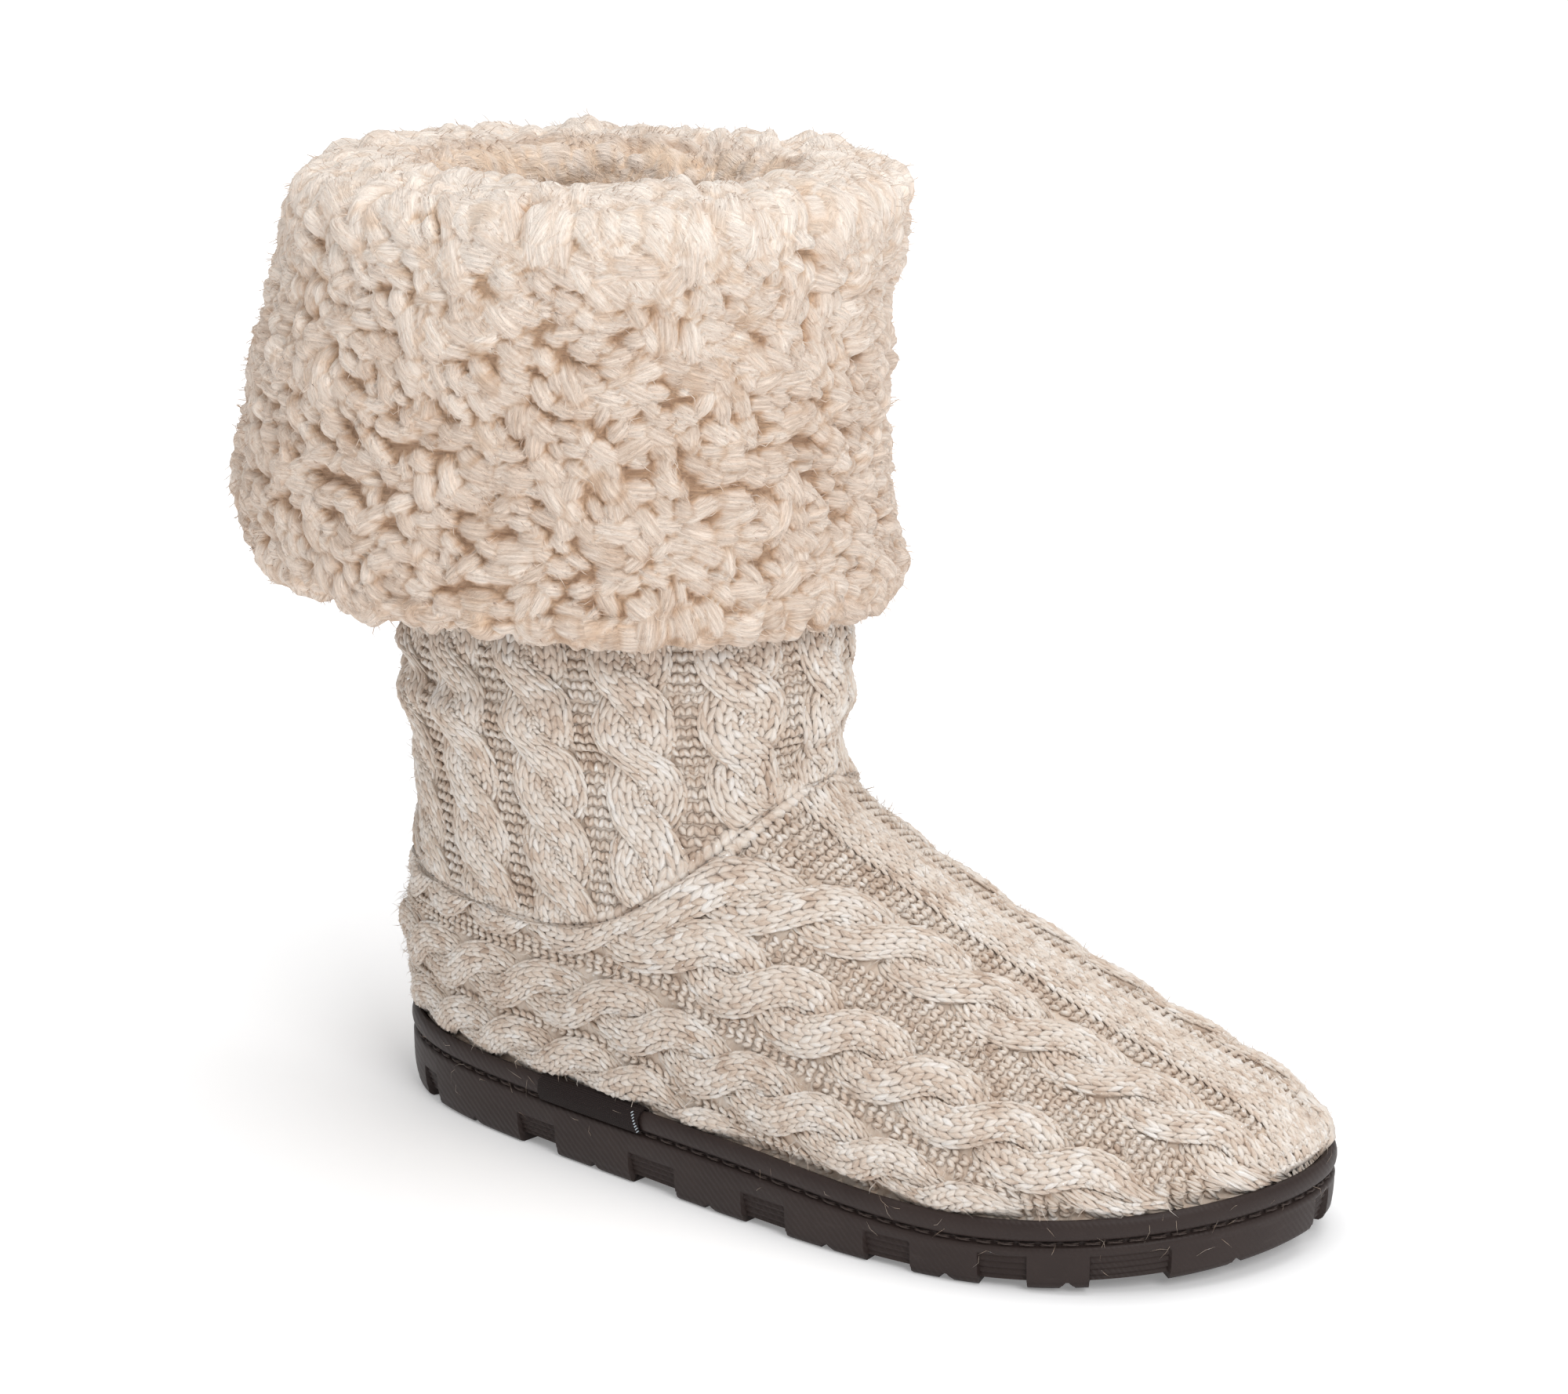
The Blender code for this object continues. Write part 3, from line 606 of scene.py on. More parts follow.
STRAND_MIDDLE = -2.5             # height of a cable's strands, and how far they pass over
STRAND_LIFT = 1.0
STRAND_SIDES = 10
COLUMN_SHARE = 0.47              # width of a strand's columns in its half widths
# BACKING_TONE's middle value darkens the backing between stitches as painted shade
BACKING_TONE = (0.45, 0.42, 0.5)


class Strand:
    """One strand of a cable: a path in (u, w, height) that swings over and under its twin."""

    def __init__(self, centre_at, start, end, crossing, swing, sign, hand, twist):
        u = np.arange(start, end + 0.01, 0.25)
        phase = math.pi * (u - crossing) / twist
        apart = 0.55 * np.cos(phase) + 0.45 * np.sin(0.5 * math.pi * np.cos(phase))
        w = centre_at(u) - sign * swing * apart
        over = hand * sign * np.sin(phase)
        self.arc = run_of(np.stack([u, w], -1))
        self.length = float(self.arc[-1])
        self.values = dict(u=u, w=w, over=over, height=STRAND_MIDDLE + STRAND_LIFT * over,
                           apart=np.abs(2.0 * swing * apart), du=np.gradient(u, self.arc),
                           dw=np.gradient(w, self.arc))

    def at(self, name, sigma):
        return np.interp(sigma, self.arc, self.values[name])

    def beside(self, sigma, lateral):
        """Chart places beside the centre line, at distances along the strand."""
        extra = sigma - np.clip(sigma, 0.0, self.length)
        return (self.at("u", sigma) + extra - lateral * self.at("dw", sigma),
                self.at("w", sigma) + lateral * self.at("du", sigma))


def add_strand(batch, chart, strand, half_width, half_height, visible):
    """Body of a strand with its four columns of stitches."""
    count = max(int(strand.length / 2.2), 3)
    s, turn = np.meshgrid(np.linspace(0.0, strand.length, count + 1),
                          np.linspace(0.0, FULL_TURN, STRAND_SIDES + 1)[:-1], indexing="ij")
    body = chart(*strand.beside(s, (half_width - 0.4) * np.sin(turn)),
                 strand.at("height", s) + (half_height + 0.02) * np.cos(turn))
    fan = np.array([(0, j, j + 1) for j in range(1, STRAND_SIDES - 1)])
    ends = np.concatenate([fan, fan[:, ::-1] + count * STRAND_SIDES])
    batch.add(body.reshape(1, -1, 3), wrap_quads(numbered(count + 1, STRAND_SIDES)),
              BACKING_TONE, ends)

    def place(sigma, across, height):
        turn = np.clip(across / half_width * 1.22, -1.75, 1.75)
        return chart(*strand.beside(sigma, (half_width + height * 0.8) * np.sin(turn)),
                     strand.at("height", sigma) + (half_height + height) * np.cos(turn))
    rows = np.arange(0.4 * ROW, strand.length, ROW)
    for column in (-1.5, -0.5, 0.5, 1.5):
        offset = column * half_width * COLUMN_SHARE
        sigma = rows + chance.uniform(-0.2, 0.2) + (0.0 if abs(column) > 1.0 else 0.5 * ROW)
        sigma = sigma[sigma < strand.length]
        hidden = (strand.at("over", sigma) < -0.15) & (strand.at("apart", sigma)
                                                       < 0.85 * half_width)
        sigma = sigma[~hidden & visible(*strand.beside(sigma, offset))]
        # painted shade: stitches of a strand that passes under are darker, and so are its outer
        # columns
        shade = np.clip(0.62 + 0.25 * strand.at("over", sigma) - 0.07 * abs(column), 0.0, 1.0)
        add_knit_legs(batch, place, sigma, offset, 0.0, shade, column=half_width * COLUMN_SHARE)


# ---- knit of the foot ------------------------------------------------------------------------
RIDGE_HALF = 9.3                 # half width of the smooth band along the ridge of the vamp
RIDGE_START = 70.0
FIRST_CABLE = ((55.0, 55.0), (75.0, 42.5), (90.0, 35.0), (105.0, 30.2), (118.0, 27.6),
               (135.0, 26.0), (240.0, 25.2))
# centre line, first row, half width of a strand, height of a strand, where a crossing falls
FOOT_CABLES = (
    (FIRST_CABLE, 60.0, 5.5, 1.9, 15.1),
    (56.5, STATIONS[0], 5.5, 1.9, 18.6),
    (79.5, STATIONS[0], 4.6, 1.75, 16.5),
    (98.5, STATIONS[0], 4.6, 1.75, 5.0),
)
FOOT_TWIST = 23.0                # from one crossing of a cable to the next


def cable_centre(line):
    if isinstance(line, float):
        return lambda s: np.full_like(s, line)
    return lambda s: table_value(line, s)


def ridge_rise(t):
    """The smooth band on the ridge stands a little over the purl ground beside it."""
    return 0.9 * (1.0 - ramp(np.abs(t), RIDGE_HALF - 2.6, RIDGE_HALF + 0.6))


def foot_ground(batch, side):
    stations = np.append(np.arange(STATIONS[0], TOE_END, 2.5), TOE_END)
    share = np.linspace(0.0, 1.0, 42)
    top = foot_edge(TOPS, stations, side)
    start = np.maximum(top - 3.0 * (top > 0.5), 0.0)
    t = between(start, foot_edge(BOTTOMS, stations, side) + 5.0, share)
    s = np.repeat(stations[:, None], len(share), axis=1)
    crease = seam_crease(t - top[:, None]) * (top > 0.5)[:, None]
    # the tone's middle value darkens the backing between the stitches as painted shade
    add_slab(batch, on_foot(side, s, t, GROUND - crease + ridge_rise(t)),
             on_foot(side, s, t, -KNIT_WALL), (0.45, 0.36, 0.5))


TOE_SPREAD = 15.0                # half width of the patch that closes the tip of the toe
TOE_LEVELS = np.linspace(33.0, KNIT_FOOT, 15)
TOE_ARC = run_of(np.vstack([knit_surface(np.zeros(15), TOE_LEVELS), *tucked(0.0)]))
TOE_ROW = 2.5


def toe_face(u, w):
    """Place on the tip of the toe: u down it, w across it."""
    level = np.interp(u, TOE_ARC[:len(TOE_LEVELS)], TOE_LEVELS)
    half = table_rows(UPPER_SECTIONS, level)[..., 5]
    angle = np.arcsin(np.clip(w / half, -0.9, 0.9))
    steps = TOE_ARC[len(TOE_LEVELS) - 1:]
    below = np.clip(np.interp(u, steps, np.arange(len(steps))), 0.0, len(steps) - 1.001)
    return sum(row * np.maximum(1.0 - np.abs(below - k), 0.0)[..., None]
               for k, row in enumerate([knit_surface(angle, level)] + tucked(angle)))


def toe_place(u, w, height):
    across = toe_face(u, w + 0.4) - toe_face(u, w - 0.4)
    down = toe_face(u + 0.4, w) - toe_face(np.maximum(u - 0.4, 0.0), w)
    out = unit(np.cross(down, across))
    out = np.where((out[..., 0] < 0.0)[..., None], -out, out)
    return toe_face(u, w) + out * np.asarray(height)[..., None]


def toe_patch(batch):
    """Knit that closes the tip of the toe down to the rim."""
    w, u = np.meshgrid(np.linspace(-TOE_SPREAD - 4.0, TOE_SPREAD + 4.0, 27),
                       np.linspace(0.0, TOE_ARC[-1], 14), indexing="ij")
    # the tone's low middle value darkens the backing under the toe's stitches as painted shade
    add_slab(batch, toe_place(u, w, -1.7), toe_place(u, w, -KNIT_WALL), (0.45, 0.2, 0.5))
    u, w = all_pairs(np.arange(2.6, TOE_ARC[-1] + 0.5, TOE_ROW),
                     np.arange(-TOE_SPREAD, TOE_SPREAD + 0.1, 3.0))
    add_knit_legs(batch, toe_place, u, w, -1.55, 0.62, row=TOE_ROW)


def knit_foot_pieces():
    ground, cables = Batch(), {side: Batch() for side in SIDES}
    for side in SIDES:
        foot_ground(ground, side)
        place, taken = foot_place(side), []

        def visible(s, t):
            return ((t > foot_edge(TOPS, s, side) - 1.4) & (s < TOE_END - 0.5)
                    & (t < foot_edge(BOTTOMS, s, side) + 2.2) & (s > STATIONS[0] + 0.5))
        for line, first, half_width, half_height, crossing in FOOT_CABLES:
            centre_at = cable_centre(line)
            s = np.arange(first, TOE_END - 1.0)
            inside = centre_at(s) - half_width < foot_edge(BOTTOMS, s, side)
            last = min(s[inside].max() + 2.0, TOE_END - 1.0)
            taken.append((centre_at, first, last, 2.0 * half_width - 1.6))
            for sign in (1.0, -1.0):
                # the chart is mirrored from side to side, the twist isn't
                strand = Strand(centre_at, first, last, crossing, half_width, sign, side,
                                FOOT_TWIST)
                add_strand(cables[side], place, strand, half_width, half_height, visible)

        def is_free(s, t):
            free = visible(s, t)
            for centre_at, first, last, reach in taken:
                free &= ~((np.abs(t - centre_at(s)) < reach) & (s > first) & (s < last - 1.0))
            return free
        lay_purl(ground, place, np.arange(STATIONS[0] + 1.0, TOE_END, ROW),
                 np.arange(RIDGE_HALF + 0.5 * COLUMN, T_LAST, COLUMN), is_free)
    # the smooth band is laid once, across the ridge
    s, t = all_pairs(np.arange(RIDGE_START, TOE_END, ROW),
                     np.arange(-RIDGE_HALF + 0.5 * COLUMN, RIDGE_HALF, COLUMN))
    shown = (foot_edge(TOPS, s, SIDES[1]) < 0.5) & (s < TOE_END - 1.0)
    s, t = s[shown], t[shown]
    add_knit_legs(ground, foot_place(SIDES[1]), s, t, PURL_HEIGHT + 0.15 + ridge_rise(t), 0.66)
    toe_patch(ground)
    return ground, cables[SIDES[0]], cables[SIDES[1]]


# ---- knit of the shaft -----------------------------------------------------------------------
SHAFT_CABLES = 13
CABLE_PITCH = GIRTH / SHAFT_CABLES
SHAFT_TWIST = 17.8
SHAFT_CROSSING = 128.5
PURL_AT = 136.5                  # arc of one purl band behind the heel's middle line
SHAFT_LAST = 153.0               # the stitches go on up to this level, inside the fleece


def shaft_visible(u, a):
    level = SHAFT_TOP - u
    return (level > seam_height(shaft_angle(a, level)) - 1.4) & (level < SHAFT_LAST)


def add_seam(batch):
    """Chain of stitches that joins foot and shaft, with the turned-in edges behind it."""
    def place(u, w, height):
        angle = np.interp(u, SEAM_ARC, ROUND)
        return over_knit(angle, seam_height(angle) + w, height)
    angle = np.repeat(np.linspace(-math.pi, math.pi, 181)[:-1, None], 9, axis=1)
    level = seam_height(angle) + np.linspace(-7.0, 7.0, 9)
    add_slab(batch, over_knit(angle, level, -3.2), over_knit(angle, level, -4.2),
             (0.5, 0.5, 0.5), ring=True)
    add_knit_legs(batch, place, np.arange(0.0, SEAM_ARC[-1] - 2.0, ROW), 0.0, -2.0, 0.50,
                  column=3.9)


def knit_shaft_pieces():
    ground, cables = Batch(), Batch()
    start, level, angle = shaft_grid(120, np.linspace(0.0, 1.0, 64) ** 1.3, below=0.6,
                                     top=SHAFT_TOP)
    height = GROUND - seam_crease(level - start[:, None]) + shaft_folds(angle, level)
    add_slab(ground, over_knit(angle, level, height), over_knit(angle, level, -KNIT_WALL),
             BACKING_TONE, ring=True)
    add_seam(ground)
    half_width = (CABLE_PITCH - 5.6) / 4.0
    for k in range(SHAFT_CABLES):
        centre = PURL_AT + (k + 0.5) * CABLE_PITCH
        crossing = SHAFT_CROSSING + chance.uniform(-2.0, 2.0)
        bottom = seam_height(shaft_angle(centre, np.array(90.0)))
        for sign in (1.0, -1.0):
            strand = Strand(cable_centre(centre), SHAFT_TOP - SHAFT_LAST,
                            SHAFT_TOP - bottom + 6.0, crossing, half_width, sign, 1.0,
                            SHAFT_TWIST)
            add_strand(cables, shaft_place, strand, half_width * 1.12, 1.8, shaft_visible)
    columns = [PURL_AT + k * CABLE_PITCH + offset for k in range(SHAFT_CABLES)
               for offset in (-COLUMN, 0.0, COLUMN)]
    lay_purl(ground, shaft_place, np.arange(SHAFT_TOP - SHAFT_LAST, SHAFT_TOP - 60.0, ROW),
             columns, shaft_visible)
    return ground, cables


# ---- fleece ----------------------------------------------------------------------------------
FLEECE_TURN = 470                # points round the fleece, about one for each millimetre
FLEECE_STEP = 1.05
MOUTH_FOOT = 222.0               # the fleece goes down to this level inside the mouth
# rings of the face: level and inset under the hem and up the outside, then height and inset
# over the crest, then level and inset inside the mouth
HEM_RINGS = ((162.0, PILE - 0.5), (153.5, PILE - 3.0), (149.0, 5.5), (149.5, 2.0))
SIDE_LEVELS = (153.0, 158.0, 165.0, 172.0, 180.0, 188.0, 196.0, 204.0, 212.0, 220.0, 228.0,
               236.0, 243.0, 247.5, 250.0)
CREST_RINGS = ((252.8, 3.5), (254.0, 9.0), (252.8, 14.5))
MOUTH_RINGS = ((249.5, 4.8), (246.0, 6.4), (241.5, 6.8), (236.0, 6.4), (228.0, 6.2),
               (MOUTH_FOOT, 5.0))
FLEECE_ROUND = np.linspace(-math.pi, math.pi, FLEECE_TURN + 1)


def cuff_ring(level, inset, height=None):
    """Ring of the cuff at a level, in from its face; a height lays it flat there."""
    angle = FLEECE_ROUND
    row = table_rows(CUFF_SECTIONS, np.full_like(angle, level))
    share = angle_share(angle)
    back, front = row[..., 0] + inset, row[..., 1] - inset
    x = back + (front - back) * share - HEEL_TO_ORIGIN
    y = CUFF_CENTRE + np.sin(angle) * cubic(share, row[..., 2:6] - inset)
    hang = np.clip((190.0 - level) / 40.0, 0.0, 1.0) * HEM_TILT * (x - 20.0)
    return np.stack([x, y, level - hang if height is None else np.full_like(x, height)], -1)


def mouth_ring(level, inset):
    return shaft_inside(FLEECE_ROUND, np.full_like(FLEECE_ROUND, level), inset)


def fleece_face():
    """Rings of the fleece's face, from under the hem over the crest and into the mouth."""
    rings = np.array([cuff_ring(*ring) for ring in HEM_RINGS]
                     + [cuff_ring(level, 0.0) for level in SIDE_LEVELS]
                     + [cuff_ring(CUFF_TOP, inset, height) for height, inset in CREST_RINGS]
                     + [mouth_ring(*ring) for ring in MOUTH_RINGS])
    arc = run_of(rings[:, len(FLEECE_ROUND) // 4])
    want = np.linspace(0.0, arc[-1], int(arc[-1] / FLEECE_STEP) + 1)
    i = np.clip(np.searchsorted(arc, want, side="right") - 1, 0, len(arc) - 2)
    share = ((want - arc[i]) / (arc[i + 1] - arc[i]))[:, None, None]
    return rings[i] * (1.0 - share) + rings[i + 1] * share


def hidden_rings():
    """Rings that bring the fleece back over the shaft's top edge to the hem, out of sight."""
    over = knit_surface(FLEECE_ROUND, SHAFT_TOP)
    over[:, 2] = SHAFT_TOP + 2.0
    return np.array([mouth_ring(level, 0.8) for level in (MOUTH_FOOT, 236.0, 250.0)] + [over]
                    + [cuff_ring(level, PILE) for level in (246.0, 225.0, 200.0, 180.0)])


FACE = fleece_face()
_along, _around = np.gradient(FACE, axis=(0, 1))
_around[:, 0] = _around[:, -1] = (FACE[:, 1] - FACE[:, -2]) / 2.0
FACE_NORMAL, FACE_DOWN = unit(np.cross(_around, _along)), -_along
CREST_ROW = int(np.argmax(FACE[:, FACE.shape[1] // 4, 2]))
FACE_DOWN[CREST_ROW + 1:] *= -1.0    # over the crest the nap falls into the mouth


class Lobes:
    """Soft lobes that lie over one another on the fleece, on a jittered grid of centres."""

    def __init__(self, pitch, size, rise, seed):
        source = np.random.default_rng(seed)
        self.down_count = int(run_of(FACE[:, FLEECE_TURN // 4])[-1] / pitch)
        self.round_count = int(FLEECE_TURN / pitch)
        self.cell = ((len(FACE) - 1) / self.down_count, FLEECE_TURN / self.round_count)
        r, c = np.meshgrid(np.arange(self.down_count), np.arange(self.round_count),
                           indexing="ij")
        shape = r.shape
        i = (r + 0.5 + source.uniform(-0.5, 0.5, shape)) * self.cell[0]
        j = (c + 0.5 * (r % 2) + source.uniform(-0.45, 0.45, shape)) * self.cell[1]
        j %= FLEECE_TURN
        self.centre = grid_look_up(FACE, i, j)
        out = unit(grid_look_up(FACE_NORMAL, i, j))
        nap = grid_look_up(FACE_DOWN, i, j)
        nap = unit(nap - out * (nap * out).sum(-1, keepdims=True))
        crest = bell(i, CREST_ROW - 6.0, 20.0)    # tufts there are longer and stand in fans
        swirl = (1.1 * waves(self.centre, size=30.0, seed=seed + 1)
                 + source.normal(0.0, 0.35, shape) * (1.0 + crest) + 1.15)
        swirl = swirl * (1.0 - 0.40 * crest)
        self.lie = nap * np.cos(swirl)[..., None] + np.cross(out, nap) * np.sin(swirl)[..., None]
        self.wide = np.cross(out, self.lie)
        grow = np.exp(source.normal(0.0, 0.20, shape))
        self.length = size[0] * grow * source.uniform(0.85, 1.25, shape) * (1.0 + 0.40 * crest)
        self.width = size[1] * grow * source.uniform(0.85, 1.15, shape) * (1.0 + 0.12 * crest)
        self.base = source.normal(0.0, 0.5, shape)
        self.rise = rise * source.uniform(0.8, 1.2, shape) * (1.0 + 0.15 * crest)
        self.own = source.uniform(0.0, 1.0, shape)
        self.floor = -0.14 * rise

    def over_face(self):
        """Height everywhere on the face, gap to the next lobe, and which one is uppermost."""
        shape = FACE.shape[:2]
        i, j = np.meshgrid(np.arange(shape[0]), np.arange(shape[1]) % FLEECE_TURN,
                           indexing="ij")
        r, c = (i / self.cell[0]).astype(int), (j / self.cell[1]).astype(int)
        best, second = np.full(shape, self.floor), np.full(shape, self.floor - 0.6)
        which = np.zeros(shape, int)
        for dr in range(-2, 3):
            for dc in range(-2, 3):
                lobe = (np.clip(r + dr, 0, self.down_count - 1), (c + dc) % self.round_count)
                gap = FACE - self.centre[lobe]
                a = (gap * self.lie[lobe]).sum(-1) / self.length[lobe]
                b = (gap * self.wide[lobe]).sum(-1) / self.width[lobe]
                inside = np.maximum(1.0 - a * a - b * b, 0.0)
                height = self.base[lobe] + self.rise[lobe] * (inside**0.55 - 0.62) + 1.7 * a
                height = np.where(inside > 0.0, height, -9.0)
                above = height > best
                second = np.where(above, best, np.maximum(second, height))
                which = np.where(above, lobe[0] * self.round_count + lobe[1], which)
                best = np.where(above, height, best)
        return best, best - second, which

    def fibres(self, points, which):
        """Flat places of points along and across the lobe they are on, in centimetres."""
        gap = points - self.centre.reshape(-1, 3)[which]
        along = (gap * self.lie.reshape(-1, 3)[which]).sum(-1)
        across = (gap * self.wide.reshape(-1, 3)[which]).sum(-1)
        return np.stack([across / 10.0 + (which % 89) * 3.1,
                         along / 10.0 + (which % 53) * 2.3], -1)


def softened(values):
    """Values of the face's grid, each drawn toward its neighbours."""
    near = np.concatenate([values[:, -2:-1], values, values[:, 1:2]], axis=1)
    tall = np.concatenate([values[:1], values, values[-1:]])
    return 0.5 * values + 0.125 * (near[:, :-2] + near[:, 2:] + tall[:-2] + tall[2:])


def fleece_skin(fine, broad):
    """Heights of the pile, its painted shade and light, its painted crest highlight, its upper
    lobes.
    """
    height, gap, which = fine.over_face()
    under, under_gap, _ = broad.over_face()
    height, under = 0.7 * height + 0.3 * softened(height), softened(softened(under))
    row = np.arange(len(FACE))[:, None]
    full = 0.55 + 1.05 * bell(row, CREST_ROW - 8.0, 26.0)
    lift = height + under * full * 0.55 + 0.7 * waves(FACE, size=38.0, seed=5)
    # painted shade: darker in the creases between lobes and where the pile lies low
    open_and_lit = ramp(gap, 0.0, 1.6) * 0.40 + ramp(height, -2.0, 2.4) * 0.60
    open_and_lit = open_and_lit * (0.75 + 0.25 * ramp(under_gap, 0.0, 2.0))
    mouth = ramp(row, CREST_ROW + 3.0, CREST_ROW + 13.0)
    # painted light: less shade over the crest and inside the mouth
    lit = np.maximum(0.15 * bell(row, CREST_ROW, 22.0), 0.36 * mouth)
    open_and_lit = open_and_lit + (1.0 - open_and_lit) * lit
    # painted highlight: lighter over the crest; below zero it marks the inside of the mouth
    bright = np.broadcast_to(bell(row, CREST_ROW, 34.0) - 1.9 * mouth, lift.shape)
    return lift, open_and_lit, bright, which


FINE = Lobes(pitch=4.8, size=(5.8, 3.3), rise=7.0, seed=41)
BROAD = Lobes(pitch=12.0, size=(13.0, 9.0), rise=8.0, seed=51)
LIFT, OPEN_AND_LIT, BRIGHT, WHICH = fleece_skin(FINE, BROAD)


def fleece_piece():
    """The pile as one closed ring of cloth."""
    skin = (FACE + FACE_NORMAL * (LIFT - 0.4)[..., None])[:, :-1]
    grid = np.concatenate([skin, hidden_rings()[:, :-1]])
    # tone: each lobe's own random tone, painted shade and light, and the crest's painted
    # highlight; the hidden rings get a low even tone, painted shade
    tone = np.full(grid.shape, 0.3)
    tone[:len(skin)] = np.stack([FINE.own.reshape(-1)[WHICH], OPEN_AND_LIT,
                                 0.6 + 0.4 * BRIGHT], -1)[:, :-1]
    pile = Batch()
    pile.add(grid.reshape(1, -1, 3), wrap_quads(numbered(*grid.shape[:2]), ring=True),
             tone.reshape(1, -1, 3))
    piece = pile.make("fleece_cuff_pile")
    # each face takes the run of its fibres from the lobe that is uppermost on it
    corners = np.empty(len(piece.data.loops), np.int32)
    piece.data.loops.foreach_get("vertex_index", corners)
    corners = corners.reshape(-1, 4)
    on_skin = skin.shape[0] * skin.shape[1]
    shown, place = corners < on_skin, np.minimum(corners, on_skin - 1)
    heights = np.where(shown, LIFT[:, :-1].reshape(-1)[place], -9.0)
    pick = np.take_along_axis(place, heights.argmax(1)[:, None], 1)
    lobe = np.broadcast_to(WHICH[:, :-1].reshape(-1)[pick], corners.shape)
    uv = FINE.fibres(grid.reshape(-1, 3)[corners], lobe)
    uv[~shown.all(1)] = 0.0
    piece.data.uv_layers["yarn"].data.foreach_set("uv", flat32(uv))
    return piece


# ---- fine hairs ------------------------------------------------------------------------------
HAIR_QUADS = np.array([(0, 1, 4, 3), (1, 2, 5, 4), (2, 0, 3, 5)])
HAIR_TRIS = np.array([(0, 2, 1), (3, 4, 6), (4, 5, 6), (5, 3, 6)])
KNIT_HAIR = ((2.0, 6.0), 0.085, (0.5, 0.9, 0.5), (0.6, 1.5))     # reach, radius, tone, flatness
LINT = ((2.5, 6.5), 0.04, (0.5, 0.15, 0.5), (1.2, 1.5))
WISP = ((3.0, 5.5), 0.12, (0.5, 0.95, 0.6), (0.7, 1.35))
KNIT_HAIRS, LINT_HAIRS, FLEECE_WISPS = 1600, 90, 7000


def add_hairs(batch, root, out, source, reach, radius, tone, flat, lie=None):
    """Loose hairs: thin bent three-sided threads that stand off the yarn, or nearly lie on it."""
    n = len(root)
    side = unit(np.cross(out, source.normal(size=(n, 3))))
    if lie is not None:
        side = lie + 0.35 * side
        side = unit(side - out * (side * out).sum(-1, keepdims=True))
    other = np.cross(out, side)
    tilt = source.uniform(*flat, (n, 1))
    start = out * np.cos(tilt) + side * np.sin(tilt)
    bent = start + other * source.normal(0.0, 0.6, (n, 1)) - out * 0.25
    size = source.uniform(*reach, (n, 1))
    knee = root + start * size * 0.5
    points = np.empty((n, 7, 3))
    for k, spine in enumerate((root - out * 0.3, knee)):
        for i in range(3):
            a = FULL_TURN * i / 3.0
            points[:, k * 3 + i] = spine + (side * math.cos(a) + other * math.sin(a)) * radius
    points[:, 6] = knee + bent * size * 0.5
    shades = np.tile(np.array(tone), (n, 7, 1))
    shades[..., 0] = source.random((n, 1))
    batch.add(points, HAIR_QUADS, shades, HAIR_TRIS)


def knit_hairs(batch, count):
    """Hairs over each side of the foot and over the shaft, as many on each."""
    source = np.random.default_rng(77)
    for side in SIDES:
        s = source.uniform(STATIONS[0], TOE_END, count * 2)
        share = source.uniform(0.0, 1.0, count * 2)
        top, bottom = foot_edge(TOPS, s, side), foot_edge(BOTTOMS, s, side)
        t = top + (bottom - top) * share
        pick = source.random(len(s)) < (bottom - top) / 100.0
        s, t = s[pick], t[pick]
        out = grid_look_up(NORMALS[side], s - STATIONS[0], t)
        add_hairs(batch, on_foot(side, s, t, -0.6), out, source, *KNIT_HAIR)
    a, level = source.uniform(0.0, GIRTH, count), source.uniform(62.0, 150.0, count)
    pick = level > seam_height(shaft_angle(a, level)) + 1.0
    u, a = SHAFT_TOP - level[pick], a[pick]
    root = shaft_place(u, a, -0.6)
    add_hairs(batch, root, shaft_place(u, a, 0.4) - root, source, *KNIT_HAIR)


def lint(batch, count):
    """Stray fibres caught on the rubber's side."""
    source = np.random.default_rng(79)
    u = source.uniform(0.0, EDGE_LENGTH, count)
    w = -1.0 - 12.0 * source.random(count)**1.6
    inset = np.where((w < -4.6) & (w > -7.4), -1.0, np.where(w < -7.4, -0.35, 0.0))
    root = rim_place(u, w, inset)
    add_hairs(batch, root, unit(rim_place(u, w, inset + 1.0) - root), source, *LINT)


def fleece_hairs(batch, count):
    """Wisps at the tips of the lobes, laid the way their fibres run."""
    source = np.random.default_rng(78)
    row = source.integers(2, len(FACE) - 2, count * 2)
    column = source.integers(0, FLEECE_TURN, count * 2)
    proud = OPEN_AND_LIT[row, column] > 0.55
    at = (row[proud][:count], column[proud][:count])
    root = FACE[at] + FACE_NORMAL[at] * (LIFT[at] - 0.7)[:, None]
    add_hairs(batch, root, FACE_NORMAL[at], source, *WISP, FINE.lie.reshape(-1, 3)[WHICH[at]])


# ---- linings ---------------------------------------------------------------------------------
LINING_TOP, LINING_FRONT = 223.0, 222.0
LUMP_SIZE = 9.0


def lining():
    """Short fleece inside the shaft and the foot."""
    batch = Batch()
    _, level, angle = shaft_grid(72, np.linspace(0.0, 1.0, 32), below=2.5, top=LINING_TOP)
    inner = shaft_inside(angle, level, 1.9)
    toward = unit(np.array([20.0, -3.0]) - inner[..., :2])
    inner[..., :2] += toward * (0.9 * waves(inner, LUMP_SIZE, seed=91))[..., None]
    add_slab(batch, shaft_inside(angle, level, 0.25), inner, (0.5, 0.55, 0.5), ring=True)
    for side in SIDES:
        stations = np.append(np.arange(STATIONS[0], LINING_FRONT, 5.0), LINING_FRONT)
        share = np.linspace(0.0, 1.0, 18)
        top = foot_edge(TOPS, stations, side)
        t = between(top, np.maximum(foot_edge(BOTTOMS, stations, side) - 7.0, top + 3.0), share)
        s = np.repeat(stations[:, None], len(share), axis=1)
        lumps = waves(on_foot(side, s, t, 0.0), LUMP_SIZE, seed=92)
        add_slab(batch, on_foot(side, s, t, -4.25), on_foot(side, s, t, -5.4 - 0.5 * lumps),
                 (0.5, 0.5, 0.5))
    return batch


